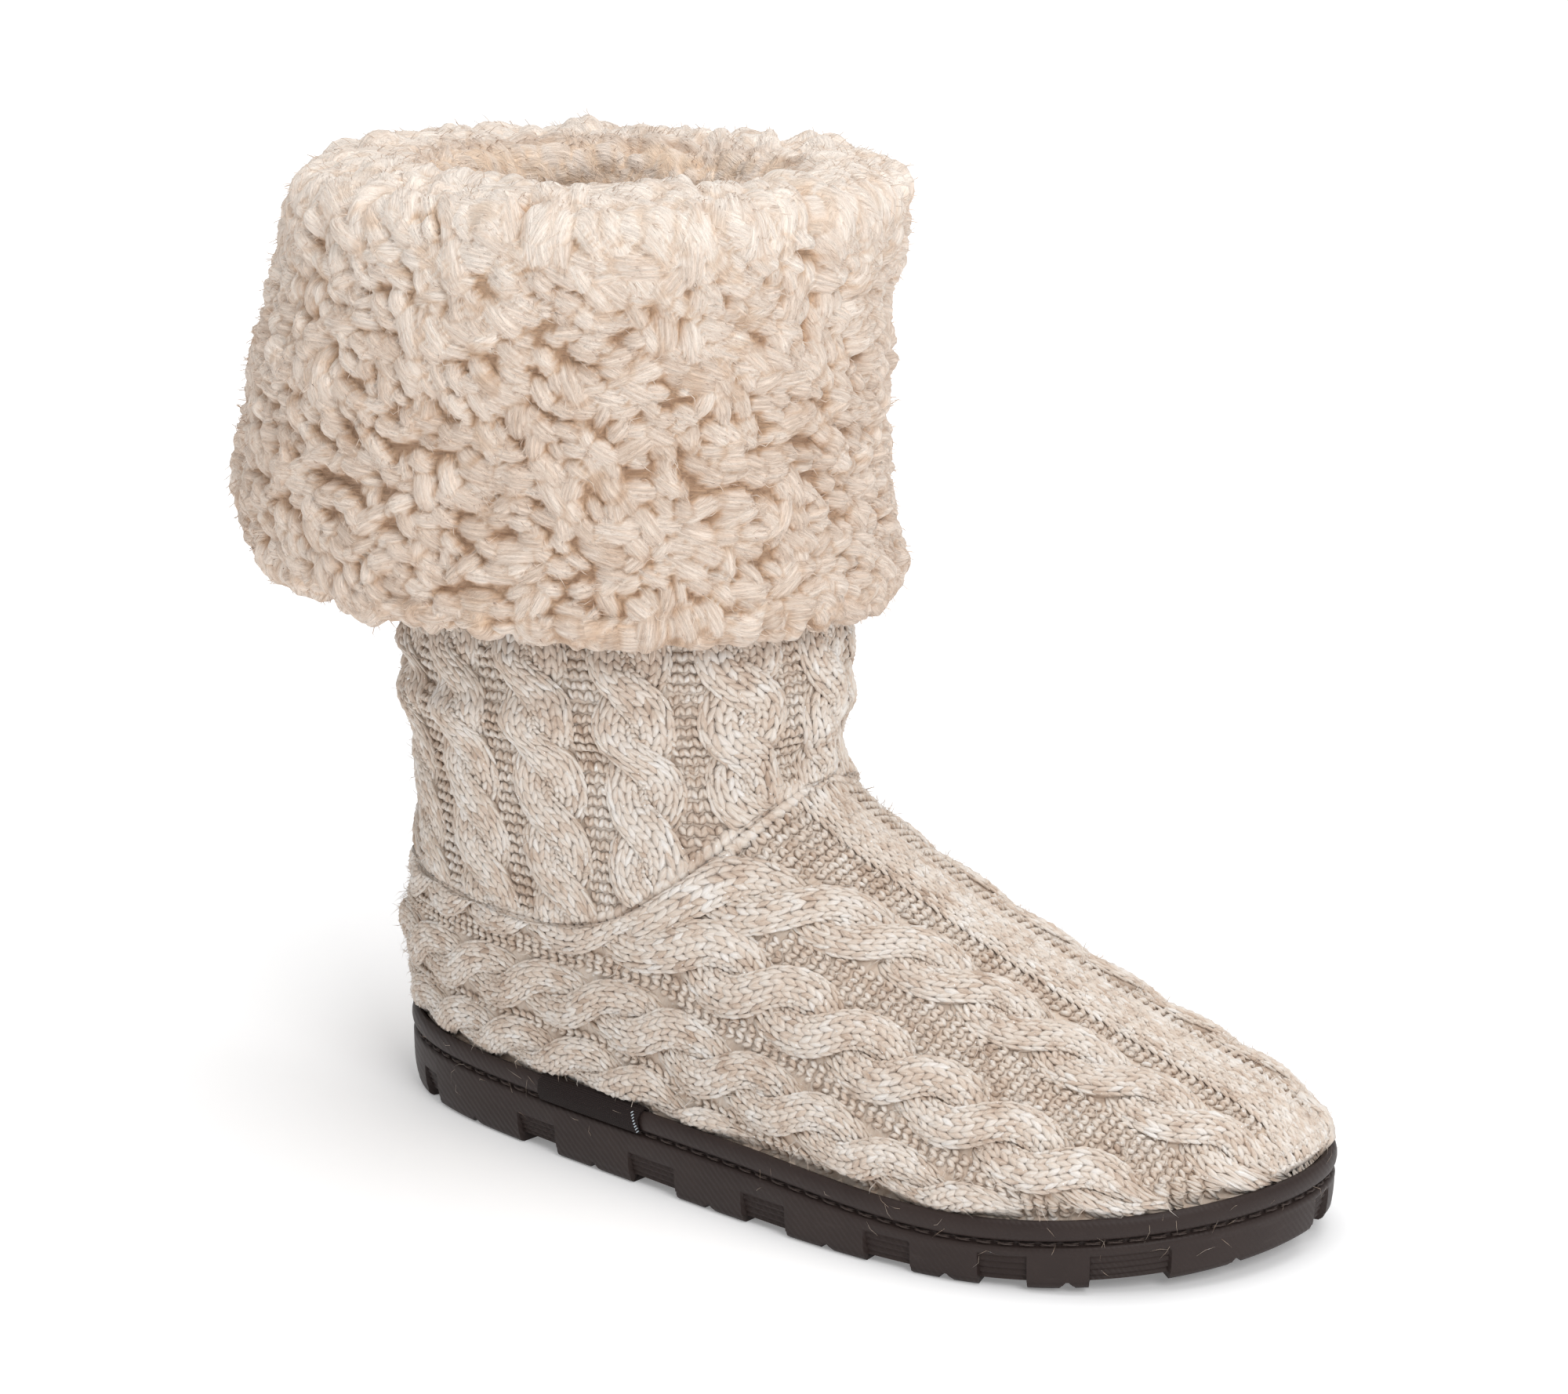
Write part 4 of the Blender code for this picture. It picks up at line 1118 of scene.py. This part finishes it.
def insole_piece():
    """Fleece insole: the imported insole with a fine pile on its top."""
    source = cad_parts["insole"]
    insole = source.copy()
    insole.data = source.data.copy()
    insole.name = "insole_fleece_top"
    bpy.context.scene.collection.objects.link(insole)
    for key in list(insole.keys()):
        del insole[key]
    insole.hide_render = insole.hide_viewport = False
    insole.parent = None
    work = bmesh.new()
    work.from_mesh(insole.data)
    bmesh.ops.remove_doubles(work, verts=work.verts, dist=1e-6)
    for longest, cuts in ((0.008, 3), (0.004, 1)):
        edges = [e for e in work.edges if e.calc_length() > longest]
        bmesh.ops.subdivide_edges(work, edges=edges, cuts=cuts, use_grid_fill=True)
        bmesh.ops.triangulate(work, faces=work.faces)
    lumps = waves(np.array([v.co for v in work.verts]) / MM, size=8.0, seed=61)
    for vertex, lump in zip(work.verts, lumps):
        if vertex.normal.z > 0.3:
            vertex.co.z += (0.5 + 0.7 * float(lump)) * MM
    bmesh.ops.recalc_face_normals(work, faces=work.faces)
    work.to_mesh(insole.data)
    work.free()
    insole.data.shade_smooth()
    return insole


# ---- trim of the sole ------------------------------------------------------------------------
EDGE_TURN = np.linspace(0.0, FULL_TURN, 2881)
EDGE_ARC = run_of(np.stack(sole_edge(EDGE_TURN, 0.0), -1))
EDGE_LENGTH = float(EDGE_ARC[-1])
TAB_START, TAB_END = 71.0, 108.0
TAB_PROFILE = np.array((
    (2.6, -0.2), (1.7, 0.75), (0.7, 0.45), (-0.1, -0.6), (-0.5, -1.9), (-0.62, -3.2),
    (-0.45, -4.4), (-0.1, -5.3), (0.25, -5.9)))      # in from the edge, up from the rim's top
TAB_THICKNESS, TAB_BEVEL = 0.7, 0.18


def rim_place(u, w, height):
    """Place on the sole's side: u round it from the toe, w up from the rim, height out."""
    angle = np.interp(u % EDGE_LENGTH, EDGE_ARC, EDGE_TURN)
    return np.stack([*sole_edge(angle, -height), rim_at(angle) + w], -1)


def outline_angle(distance):
    return -np.arccos(2.0 * distance / SOLE_LENGTH - 1.0)


def channel_stitches():
    """Twisted thread in the channel under the rim's bead."""
    batch = Batch()
    count = int(EDGE_LENGTH / 5.4)
    start = np.arange(count) * EDGE_LENGTH / count
    for hand in SIDES:
        def at(stop):
            return (start + 0.35 + 5.0 * stop, -6.1 + hand * 0.26 * math.cos(math.pi * stop),
                    -1.42 + (0.55 + hand * 0.14) * math.sin(math.pi * stop))
        add_grains(batch, rim_place, count, at, 0.29, 0.28, 0.5)
    return batch


def tab_stitches():
    """Slanted pale stitches that hold the front end of the tab."""
    w = np.linspace(-5.2, -0.4, 8)
    start = np.interp(outline_angle(TAB_END - 1.9) % FULL_TURN, EDGE_TURN, EDGE_ARC)

    def at(stop):
        return (start + (stop - 0.5) * 1.0 - 0.42 * (w + 3.0), w + (stop - 0.5) * 0.9,
                0.75 - 0.045 * (w + 3.0) ** 2 + 0.35 * math.sin(math.pi * stop))
    batch = Batch()
    add_grains(batch, rim_place, len(w), at, 0.2, 0.2, 0.8)
    return batch


def side_tab_piece():
    """Blank woven tab laid over the rim: a fine grid bent to the rim, then given thickness."""
    bpy.ops.object.select_all(action='DESELECT')
    bpy.ops.mesh.primitive_grid_add(x_subdivisions=38, y_subdivisions=24, size=2.0)
    tab = bpy.context.object
    tab.name = "side_tab_woven"
    flat = np.array([vertex.co for vertex in tab.data.vertices])
    along, down = (flat[:, 0] + 1.0) / 2.0, (1.0 - flat[:, 1]) / 2.0
    steps = run_of(TAB_PROFILE)
    inset, height = (np.interp(down * steps[-1], steps, column) for column in TAB_PROFILE.T)
    slant = 1.6 * down * (along > 0.99)
    angle = outline_angle(TAB_START + (TAB_END - TAB_START) * along - slant)
    swell = 0.16 * np.sin(along * 9.0) * np.sin(down * 3.0)
    bent = np.stack([*sole_edge(angle, inset - swell), rim_at(angle) + height], -1)
    tab.data.vertices.foreach_set("co", flat32(bent * MM))
    solidify = tab.modifiers.new("thickness", 'SOLIDIFY')
    solidify.thickness = TAB_THICKNESS * MM
    solidify.offset = 0.0
    bevel = tab.modifiers.new("soft_edge", 'BEVEL')
    bevel.width = TAB_BEVEL * MM
    bevel.segments = 2
    for modifier in ("thickness", "soft_edge"):
        bpy.ops.object.modifier_apply(modifier=modifier)
    bpy.ops.object.shade_smooth()
    bpy.ops.object.mode_set(mode='EDIT')
    bpy.ops.mesh.select_all(action='SELECT')
    bpy.ops.mesh.normals_make_consistent(inside=False)
    bpy.ops.object.mode_set(mode='OBJECT')
    return tab


# ---- rubber sole -----------------------------------------------------------------------------
TOE_SPRING, SPRING_START = 5.2, 190.0
# inner wall, rounded bead and stitch channel: in from the edge, up from the rim's top
BEAD = ((3.0, -7.5), (3.0, -1.6), (2.8, -0.8), (2.2, -0.25), (1.4, 0.0), (0.7, -0.3),
        (0.25, -1.0), (0.0, -2.0), (-0.05, -3.1), (0.1, -4.1), (0.4, -4.8), (0.85, -5.2),
        (1.5, -5.35), (1.85, -5.75), (1.85, -6.25), (1.5, -6.65), (0.9, -6.8), (0.5, -7.1),
        (0.3, -7.7))
PANEL_TOP = 9.0                  # top of the ribbed panel in each gap, over the tread
PANEL_RISE = (3.2, 2.0)          # height of the gaps under the panels, at the heel and the toe
PANEL_ROWS = 9
# degrees round from the toe and width
GAPS = ((35.5, 20.0), (52.6, 12.0), (67.6, 13.0), (84.3, 14.0), (100.5, 16.0), (119.5, 14.0),
        (146.0, 8.0))
TOE_GAP = (2.0, 8.0)
NOTCH_WIDTH, NOTCH_HEIGHT = 4.0, 2.2
LUG_EDGE = ((2.3, 0.35), (1.5, 0.45), (0.75, 0.75), (0.3, 1.3), (0.0, 2.3))     # height, in
TREAD = (2.6, 5.5, 9.0, 15.0, 15.4)     # rows of the tread, in from the edge
WAIST_HALF = math.radians(38.0)         # the gaps beside the waist run on under the tread
GROOVE = ((1.0, 0.0), (0.86, 2.2))      # share of its width, and depth
SMOOTH_ANGLE = math.radians(40.0)


def edge_speed(turn):
    """Millimetres along the sole's edge for each radian of its outline."""
    return np.interp(turn % FULL_TURN, EDGE_TURN, np.gradient(EDGE_ARC, EDGE_TURN))


def gaps_and_notches():
    """Middle and half width of every gap and notch, in radians round the outline."""
    gaps = [TOE_GAP] + [(side * at, width) for side in SIDES for at, width in GAPS]
    stations = [TOE_GAP[0]] + [at for at, _ in GAPS]
    notches = [side * (low + high) / 2.0 for side in SIDES
               for low, high in zip(stations, stations[1:])] + [180.0]
    for places in (gaps, [(at, NOTCH_WIDTH) for at in notches]):
        yield [(math.radians(at), width / 2.0 / edge_speed(math.radians(at)))
               for at, width in places]


def sole_piece():
    """The moulded sole: bead and stitch channel, ribbed panels in its gaps, notches, tread."""
    gaps, notches = gaps_and_notches()
    half_turn = [np.linspace(0.0, math.pi, 141)]
    for middle, half in gaps:
        edge = 0.22 / edge_speed(middle)
        half_turn += [np.abs(middle + end + np.array([-edge, edge])) for end in (-half, half)]
    half_turn += [np.abs(middle + half * np.linspace(-1.0, 1.0, 5)) for middle, half in notches]
    half_turn = np.sort(np.clip(np.concatenate(half_turn), 0.0, math.pi))
    half_turn = half_turn[np.append(True, np.diff(half_turn) > 0.0006)]
    half_turn[-1] = math.pi
    turn = np.concatenate([-half_turn[::-1], half_turn[1:-1]])

    def away(middle):
        return np.abs((turn - middle + math.pi) % FULL_TURN - math.pi)
    in_gap = np.any([away(middle) < half for middle, half in gaps], axis=0)
    cut = NOTCH_HEIGHT * np.max([np.clip(1.0 - away(middle) / half, 0.0, 1.0)
                                 for middle, half in notches], axis=0)
    edge_x = sole_edge(turn, 0.0)[0]
    toward_toe = (edge_x + HEEL_TO_ORIGIN - SPRING_START) / (SOLE_LENGTH - SPRING_START)
    spring = TOE_SPRING * np.clip(toward_toe, 0.0, 1.0) ** 2
    panel_rise = np.interp(edge_x, (30.0, 120.0), PANEL_RISE)

    def row(inset, height):
        return np.stack(np.broadcast_arrays(*sole_edge(turn, inset), height), -1)
    rows = [row(inset, rim_height(edge_x) + height) for inset, height in BEAD]
    rows.append(row(0.35, spring + PANEL_TOP + 0.25))
    for k, share in enumerate(np.linspace(0.0, 1.0, PANEL_ROWS)):
        panel = 0.55 + 1.75 * share + 0.5 * (k % 2)      # every other row stands in as a rib
        plain = 0.4 + 0.55 * share**2
        rows.append(row(plain + (panel - plain) * in_gap,
                        spring + PANEL_TOP + (panel_rise - PANEL_TOP) * share))
    for height, inset in LUG_EDGE:
        rows.append(row(0.9 + inset + (1.6 + inset) * in_gap,
                        spring + np.where(in_gap, panel_rise, np.maximum(height, cut))))
    in_waist = (np.abs(np.abs(turn) - math.pi / 2.0) < WAIST_HALF) & in_gap
    for inset in TREAD:
        fade = np.clip((9.5 - inset) / 7.0, 0.0, 1.0)
        deep = in_gap if inset < TREAD[-1] else in_waist
        raised = np.where(deep, panel_rise, np.where(in_gap, 0.0, cut * fade))
        rows.append(row(inset + 1.6 * in_gap * (inset < 5.0), spring + raised))
    # the middle of the tread, with a groove along it
    inner = sole_edge(turn, TREAD[-1])[0]
    middle = cubic(np.clip((inner + HEEL_TO_ORIGIN) / SOLE_LENGTH, 0.0, 1.0), SOLE_CENTRE)
    x, y, z = rows[-1].T
    room = np.clip(np.abs(y - middle) - 0.5, 0.2, 2.9)
    side = np.sign(np.sin(turn) + 1e-9)
    for width, depth in GROOVE:
        groove = np.where((room > 2.5) & (z - spring < 1.0), depth, 0.0)
        rows.append(np.stack([x, middle + side * room * width, z + groove], -1))
    count, columns = len(rows), len(turn)
    quads = [wrap_quads(numbered(count, columns))]
    # close the footbed across the top and the tread across its middle
    n, k = len(half_turn), np.arange(len(half_turn) - 1)
    across = np.stack([n - 1 - k, n - 2 - k, (n + k) % columns, (n - 1 + k) % columns], -1)
    quads = np.concatenate(quads + [across, across + (count - 1) * columns])
    doubled = (quads == np.roll(quads, -1, axis=1)).any(1)
    tris = np.array([[v for i, v in enumerate(q) if v != q[i - 1]] for q in quads[doubled]])
    batch = Batch()
    batch.add(np.concatenate(rows)[None], quads[~doubled], (0.5, 0.5, 0.5), tris)
    piece = batch.make("outsole_moulded")
    bpy.ops.object.select_all(action='DESELECT')
    piece.select_set(True)
    bpy.context.view_layer.objects.active = piece
    bpy.ops.object.shade_smooth_by_angle(angle=SMOOTH_ANGLE)
    return piece


# ---- finishes --------------------------------------------------------------------------------
class Nodes:
    """Short way to put nodes together in one material; values may be numbers or outputs."""

    def __init__(self, name):
        self.material = bpy.data.materials.new(name)
        self.material.use_nodes = True
        self.tree = self.material.node_tree
        self.place = self.add('ShaderNodeTexCoord').outputs["Object"]

    def put(self, socket, value):
        if isinstance(value, bpy.types.NodeSocket):
            self.tree.links.new(value, socket)
        elif socket.type == 'RGBA':
            socket.default_value = (*value, 1.0)
        else:
            socket.default_value = value

    def add(self, kind, inputs=(), **settings):
        node = self.tree.nodes.new(kind)
        for key, value in settings.items():
            setattr(node, key, value)
        for key, value in dict(inputs).items():
            self.put(node.inputs[key], value)
        return node

    def math(self, operation, a, b):
        return self.add('ShaderNodeMath', {0: a, 1: b}, operation=operation).outputs[0]

    def total(self, *parts):
        """Sum of values, each with its weight."""
        weighted = [self.math('MULTIPLY', value, weight) for value, weight in parts]
        result = weighted[0]
        for value in weighted[1:]:
            result = self.math('ADD', result, value)
        return result

    def noise(self, vector, scale, detail, roughness, distortion=0.0):
        return self.add('ShaderNodeTexNoise', {
            "Scale": scale, "Detail": detail, "Roughness": roughness,
            "Distortion": distortion, "Vector": vector}).outputs["Fac"]

    def bands(self, direction, scale, distortion):
        return self.add('ShaderNodeTexWave', {
            "Scale": scale, "Distortion": distortion, "Vector": self.place},
            wave_type='BANDS', bands_direction=direction).outputs["Fac"]

    def ramp(self, factor, *stops):
        node = self.add('ShaderNodeValToRGB', {"Fac": factor})
        elements = node.color_ramp.elements
        while len(elements) < len(stops):
            elements.new(0.5)
        for element, (place, colour) in zip(elements, stops):
            element.position, element.color = place, (*colour, 1.0)
        return node.outputs["Color"]

    def mix(self, factor, a, b, blend='MIX'):
        return self.add('ShaderNodeMix', {0: factor, 6: a, 7: b}, data_type='RGBA',
                        blend_type=blend).outputs[2]

    def scaled(self, vector, *scale):
        return self.add('ShaderNodeMapping', {"Scale": scale, "Vector": vector}).outputs[0]

    def bump(self, height, strength, distance, normal=None):
        inputs = {"Strength": strength, "Distance": distance, "Height": height}
        if normal is not None:
            inputs["Normal"] = normal
        return self.add('ShaderNodeBump', inputs).outputs[0]

    def yarn(self, *scale):
        """The yarn's own uv, scaled across and along it."""
        return self.scaled(self.add('ShaderNodeUVMap', uv_map="yarn").outputs[0], *scale)

    def tone(self):
        colour = self.add('ShaderNodeAttribute', attribute_name="tone").outputs["Color"]
        return self.add('ShaderNodeSeparateColor', {"Color": colour}).outputs[:]

    def finish(self, **values):
        """Feed the shader, with underscores for the spaces in its inputs' names."""
        shader = self.tree.nodes["Principled BSDF"]
        for key, value in values.items():
            self.put(shader.inputs[key.replace("_", " ")], value)
        return self.material


BLACK, WHITE = (0.0, 0.0, 0.0), (1.0, 1.0, 1.0)


def knit_finish():
    """Cream and oatmeal marled yarn with a fine silver thread."""
    n = Nodes("marled_knit")
    own, depth, _ = n.tone()
    streak = n.noise(n.yarn(5.0, 1.1, 1.0), 1.6, 4.0, 0.65, 0.4)
    drift = n.noise(n.place, 120.0, 4.0, 0.65)
    tone = n.math('SUBTRACT', n.total((own, 0.34), (streak, 0.55), (drift, 0.80)), 0.345)
    colour = n.ramp(tone, (0.22, (0.48, 0.355, 0.27)), (0.38, (0.675, 0.555, 0.46)),
                    (0.54, (0.77, 0.685, 0.605)), (0.76, (0.87, 0.83, 0.79)))
    # painted shade: darker where the tone's middle value is low, at deep points and on the
    # backing
    shade = n.ramp(depth, (0.0, (0.60, 0.51, 0.43)), (0.22, (0.82, 0.75, 0.68)), (0.50, WHITE))
    colour = n.mix(1.0, colour, shade, 'MULTIPLY')
    glint = n.math('GREATER_THAN', n.noise(n.place, 1400.0, 1.0, 0.5), 0.742)
    fibres = n.bump(n.noise(n.yarn(9.0, 1.6, 1.0), 2.4, 3.0, 0.6, 0.6), 0.5, 0.0004)
    return n.finish(
        Base_Color=n.mix(n.math('MULTIPLY', glint, 0.85), colour, (0.95, 0.95, 0.96)),
        Metallic=n.math('MULTIPLY', glint, 0.7),
        Roughness=n.math('SUBTRACT', 0.92, n.math('MULTIPLY', glint, 0.62)),
        Normal=n.bump(n.noise(n.place, 900.0, 3.0, 0.6), 0.35, 0.0003, fibres),
        Sheen_Weight=0.2, Sheen_Roughness=0.6, Specular_IOR_Level=0.2)


def fleece_finish():
    """Soft cream fleece, with painted shade that browns it between its lobes, a painted highlight
    on its crest, and a tan inside the mouth lightened as painted light, with painted shade in its
    creases.
    """
    n = Nodes("cream_fleece")
    own, depth, bright = n.tone()
    drift = n.noise(n.place, 42.0, 3.0, 0.6)
    streak = n.noise(n.yarn(6.5, 0.9, 1.0), 1.5, 4.0, 0.65, 0.5)
    # painted highlight: the crest is lighter
    light = n.math('SUBTRACT', n.math('MAXIMUM', bright, 0.45), 0.62)
    colour = n.ramp(n.total((own, 0.18), (streak, 0.80), (drift, 0.20), (light, 0.60)),
                    (0.12, (0.50, 0.345, 0.23)), (0.38, (0.625, 0.475, 0.37)),
                    (0.56, (0.79, 0.645, 0.535)), (0.85, (0.96, 0.855, 0.76)))
    # painted shade: browner and darker where the pile lies deep between lobes
    shade = n.ramp(depth, (0.0, (0.42, 0.285, 0.185)), (0.34, (0.775, 0.64, 0.515)),
                   (0.76, WHITE))
    # inside the mouth: a tan lightened as painted light, with painted shade in its creases
    mouth_tan_and_shade = n.ramp(depth, (0.40, (0.93, 0.60, 0.36)), (0.70, (0.99, 0.76, 0.565)),
                  (0.95, (0.99, 0.87, 0.77)))
    inside = n.math('MULTIPLY', n.ramp(bright, (0.10, WHITE), (0.55, BLACK)), 0.75)
    fibres = n.bump(n.noise(n.yarn(6.5, 0.8, 1.0), 2.2, 4.0, 0.65, 0.8), 0.75, 0.0018)
    return n.finish(
        Base_Color=n.mix(inside, n.mix(1.0, colour, shade, 'MULTIPLY'), mouth_tan_and_shade),
        Normal=n.bump(n.noise(n.place, 520.0, 4.0, 0.65, 0.5), 0.35, 0.0008, fibres),
        Roughness=1.0, Sheen_Weight=0.2, Sheen_Roughness=0.7, Specular_IOR_Level=0.1)


def lining_finish():
    """Short dense pile of the lining and the insole."""
    n = Nodes("short_fleece")
    curls = n.noise(n.place, 260.0, 4.0, 0.65, 1.2)
    colour = n.ramp(curls, (0.34, (0.56, 0.40, 0.26)), (0.50, (0.78, 0.62, 0.45)),
                    (0.66, (0.88, 0.75, 0.60)))
    return n.finish(Base_Color=colour, Normal=n.bump(curls, 0.8, 0.0015), Roughness=1.0,
                    Sheen_Weight=0.3, Sheen_Roughness=0.7, Specular_IOR_Level=0.1)


def rubber_finish():
    """Matt brown-black moulded rubber with dust and a few scuffs."""
    n = Nodes("brown_black_rubber")
    cloud = n.noise(n.place, 38.0, 5.0, 0.6)
    scuff = n.noise(n.scaled(n.place, 60.0, 60.0, 420.0), 1.0, 5.0, 0.7, 0.8)
    colour = n.ramp(cloud, (0.30, (0.026, 0.0165, 0.0145)), (0.70, (0.036, 0.024, 0.021)))
    worn = n.math('MULTIPLY', n.ramp(scuff, (0.60, BLACK), (0.78, WHITE)), 0.25)
    hatch = n.math('MULTIPLY', n.bands('DIAGONAL', 300.0, 1.5), n.noise(n.place, 55.0, 2.0, 0.5))
    grain = n.noise(n.place, 2200.0, 2.0, 0.5)
    return n.finish(
        Base_Color=n.mix(worn, colour, (0.085, 0.068, 0.064)),
        Roughness=n.math('ADD', n.math('MULTIPLY', cloud, 0.16), 0.42),
        Normal=n.bump(grain, 0.22, 0.0002, n.bump(hatch, 0.35, 0.0003)),
        Specular_IOR_Level=0.25)


def thread_finish(name, dark, light, roughness):
    """Twisted thread."""
    n = Nodes(name)
    ply = n.noise(n.yarn(3.0, 6.0, 1.0), 2.0, 3.0, 0.6, 0.5)
    return n.finish(Base_Color=n.ramp(ply, (0.35, dark), (0.68, light)),
                    Normal=n.bump(ply, 0.6, 0.0003), Roughness=roughness)


def tab_finish():
    """Tight black-brown weave."""
    n = Nodes("woven_tab_cloth")
    weave = n.math('MULTIPLY', n.bands('X', 620.0, 0.6), n.bands('Z', 720.0, 0.6))
    colour = n.ramp(weave, (0.0, (0.011, 0.0065, 0.006)), (0.6, (0.028, 0.018, 0.016)))
    return n.finish(Base_Color=colour, Normal=n.bump(weave, 0.7, 0.0003), Roughness=0.7,
                    Specular_IOR_Level=0.2)


def floor_finish():
    """Pale floor that glows as painted light, more far from the shoe, and goes over into the
    backdrop.
    """
    n = Nodes("pale_floor")
    cloud = n.noise(n.place, 3.0, 2.0, 0.5)
    # painted light: the floor glows, weakly near the shoe so its shadow stays, and more far off
    away = n.add('ShaderNodeVectorMath', {0: n.place}, operation='LENGTH').outputs["Value"]
    glow = n.ramp(n.math('MULTIPLY', away, 0.5), (0.06, (0.20, 0.20, 0.20)),
                  (0.6, (0.62, 0.62, 0.62)))
    return n.finish(Base_Color=n.ramp(cloud, (0.3, (0.89, 0.89, 0.895)),
                                      (0.7, (0.92, 0.92, 0.925))),
                    Emission_Strength=glow, Emission_Color=WHITE, Roughness=0.75,
                    Specular_IOR_Level=0.2)


# ---- the shoe put together -------------------------------------------------------------------
def dress(piece, material, slot, *nodes):
    piece.data.materials.clear()
    piece.data.materials.append(material)
    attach(piece, "root")
    if nodes:
        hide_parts(*nodes)
    return piece


knit, fleece, pile = knit_finish(), fleece_finish(), lining_finish()
for name, batch in zip(("ground", "cables_outer", "cables_inner"), knit_foot_pieces()):
    dress(batch.make("knit_foot_" + name), knit, "knit", "knit_foot")
for name, batch in zip(("ground", "cables"), knit_shaft_pieces()):
    dress(batch.make("knit_shaft_" + name), knit, "knit", "knit_shaft")
dress(fleece_piece(), fleece, "fleece", "fleece_cuff")
dress(lining().make("fleece_lining"), pile, "fleece", "knit_shaft")

hairs = Batch()
knit_hairs(hairs, KNIT_HAIRS)
lint(hairs, LINT_HAIRS)
dress(hairs.make("knit_loose_hairs"), knit, "knit")
hairs = Batch()
fleece_hairs(hairs, FLEECE_WISPS)
dress(hairs.make("fleece_loose_hairs"), fleece, "fleece")

insole = dress(insole_piece(), pile, "insole_fleece", "insole")
dress(side_tab_piece(), tab_finish(), "woven_tab", "side_tab")
pale = thread_finish("pale_thread", (0.35, 0.42, 0.48), (0.70, 0.76, 0.80), 0.5)
dress(tab_stitches().make("side_tab_stitches"), pale, "woven_tab")
dark = thread_finish("dark_thread", (0.020, 0.012, 0.010), (0.075, 0.048, 0.038), 0.6)
dress(channel_stitches().make("sole_stitches"), dark, "rubber_sole")
dress(sole_piece(), rubber_finish(), "rubber_sole", "outsole")

# ---- floor, light and camera -----------------------------------------------------------------
bpy.ops.object.select_all(action='DESELECT')
bpy.ops.mesh.primitive_plane_add(size=24.0, location=(0.1, 0.0, 0.0))
floor = bpy.context.object
floor.name = "floor"
floor.data.materials.append(floor_finish())

BACKDROP_STRENGTH = 0.52
world = bpy.data.worlds.new("studio")
world.use_nodes = True
backdrop = world.node_tree.nodes["Background"]
backdrop.inputs["Color"].default_value = (*WHITE, 1.0)
backdrop.inputs["Strength"].default_value = BACKDROP_STRENGTH
bpy.context.scene.world = world


def soft_light(name, place, aim, size, power):
    data = bpy.data.lights.new(name, 'AREA')
    data.shape = 'RECTANGLE'
    data.size, data.size_y = size
    data.energy = power
    lamp = bpy.data.objects.new(name, data)
    lamp.location = place
    lamp.rotation_euler = (Vector(aim) - Vector(place)).to_track_quat('-Z', 'Y').to_euler()
    bpy.context.scene.collection.objects.link(lamp)


soft_light("soft_right", (1.5, -0.9, 1.3), (0.09, 0.0, 0.10), (0.8, 0.8), 15.0)
soft_light("soft_top", (0.3, 0.1, 2.2), (0.09, 0.0, 0.0), (2.0, 2.0), 24.0)

AZIMUTH, ELEVATION = math.radians(30.07), math.radians(12.51)
CAMERA_AIM = Vector((0.100, -0.005, 0.120))
CAMERA_DISTANCE = 1.0
SHIFT_RIGHT, SHIFT_UP = 0.04144, 0.05623         # of the camera, in metres
TURN_LEFT, TURN_DOWN = 0.0545, 0.0519            # of its aim, for each metre ahead
back = Vector((math.sin(AZIMUTH) * math.cos(ELEVATION), -math.cos(AZIMUTH) * math.cos(ELEVATION),
               math.sin(ELEVATION)))
right = Vector((math.cos(AZIMUTH), math.sin(AZIMUTH), 0.0))
up = back.cross(right)
lens = bpy.data.cameras.new("camera")
lens.sensor_width = 36.0
lens.lens = 90.0
lens.clip_end = 60.0
camera = bpy.data.objects.new("camera", lens)
camera.location = CAMERA_AIM + back * CAMERA_DISTANCE + right * SHIFT_RIGHT + up * SHIFT_UP
aim = -back - right * TURN_LEFT - up * TURN_DOWN
camera.rotation_euler = aim.to_track_quat('-Z', 'Y').to_euler()
bpy.context.scene.collection.objects.link(camera)
bpy.context.scene.camera = camera

bpy.context.scene.view_settings.view_transform = 'Standard'
bpy.context.view_layer.update()
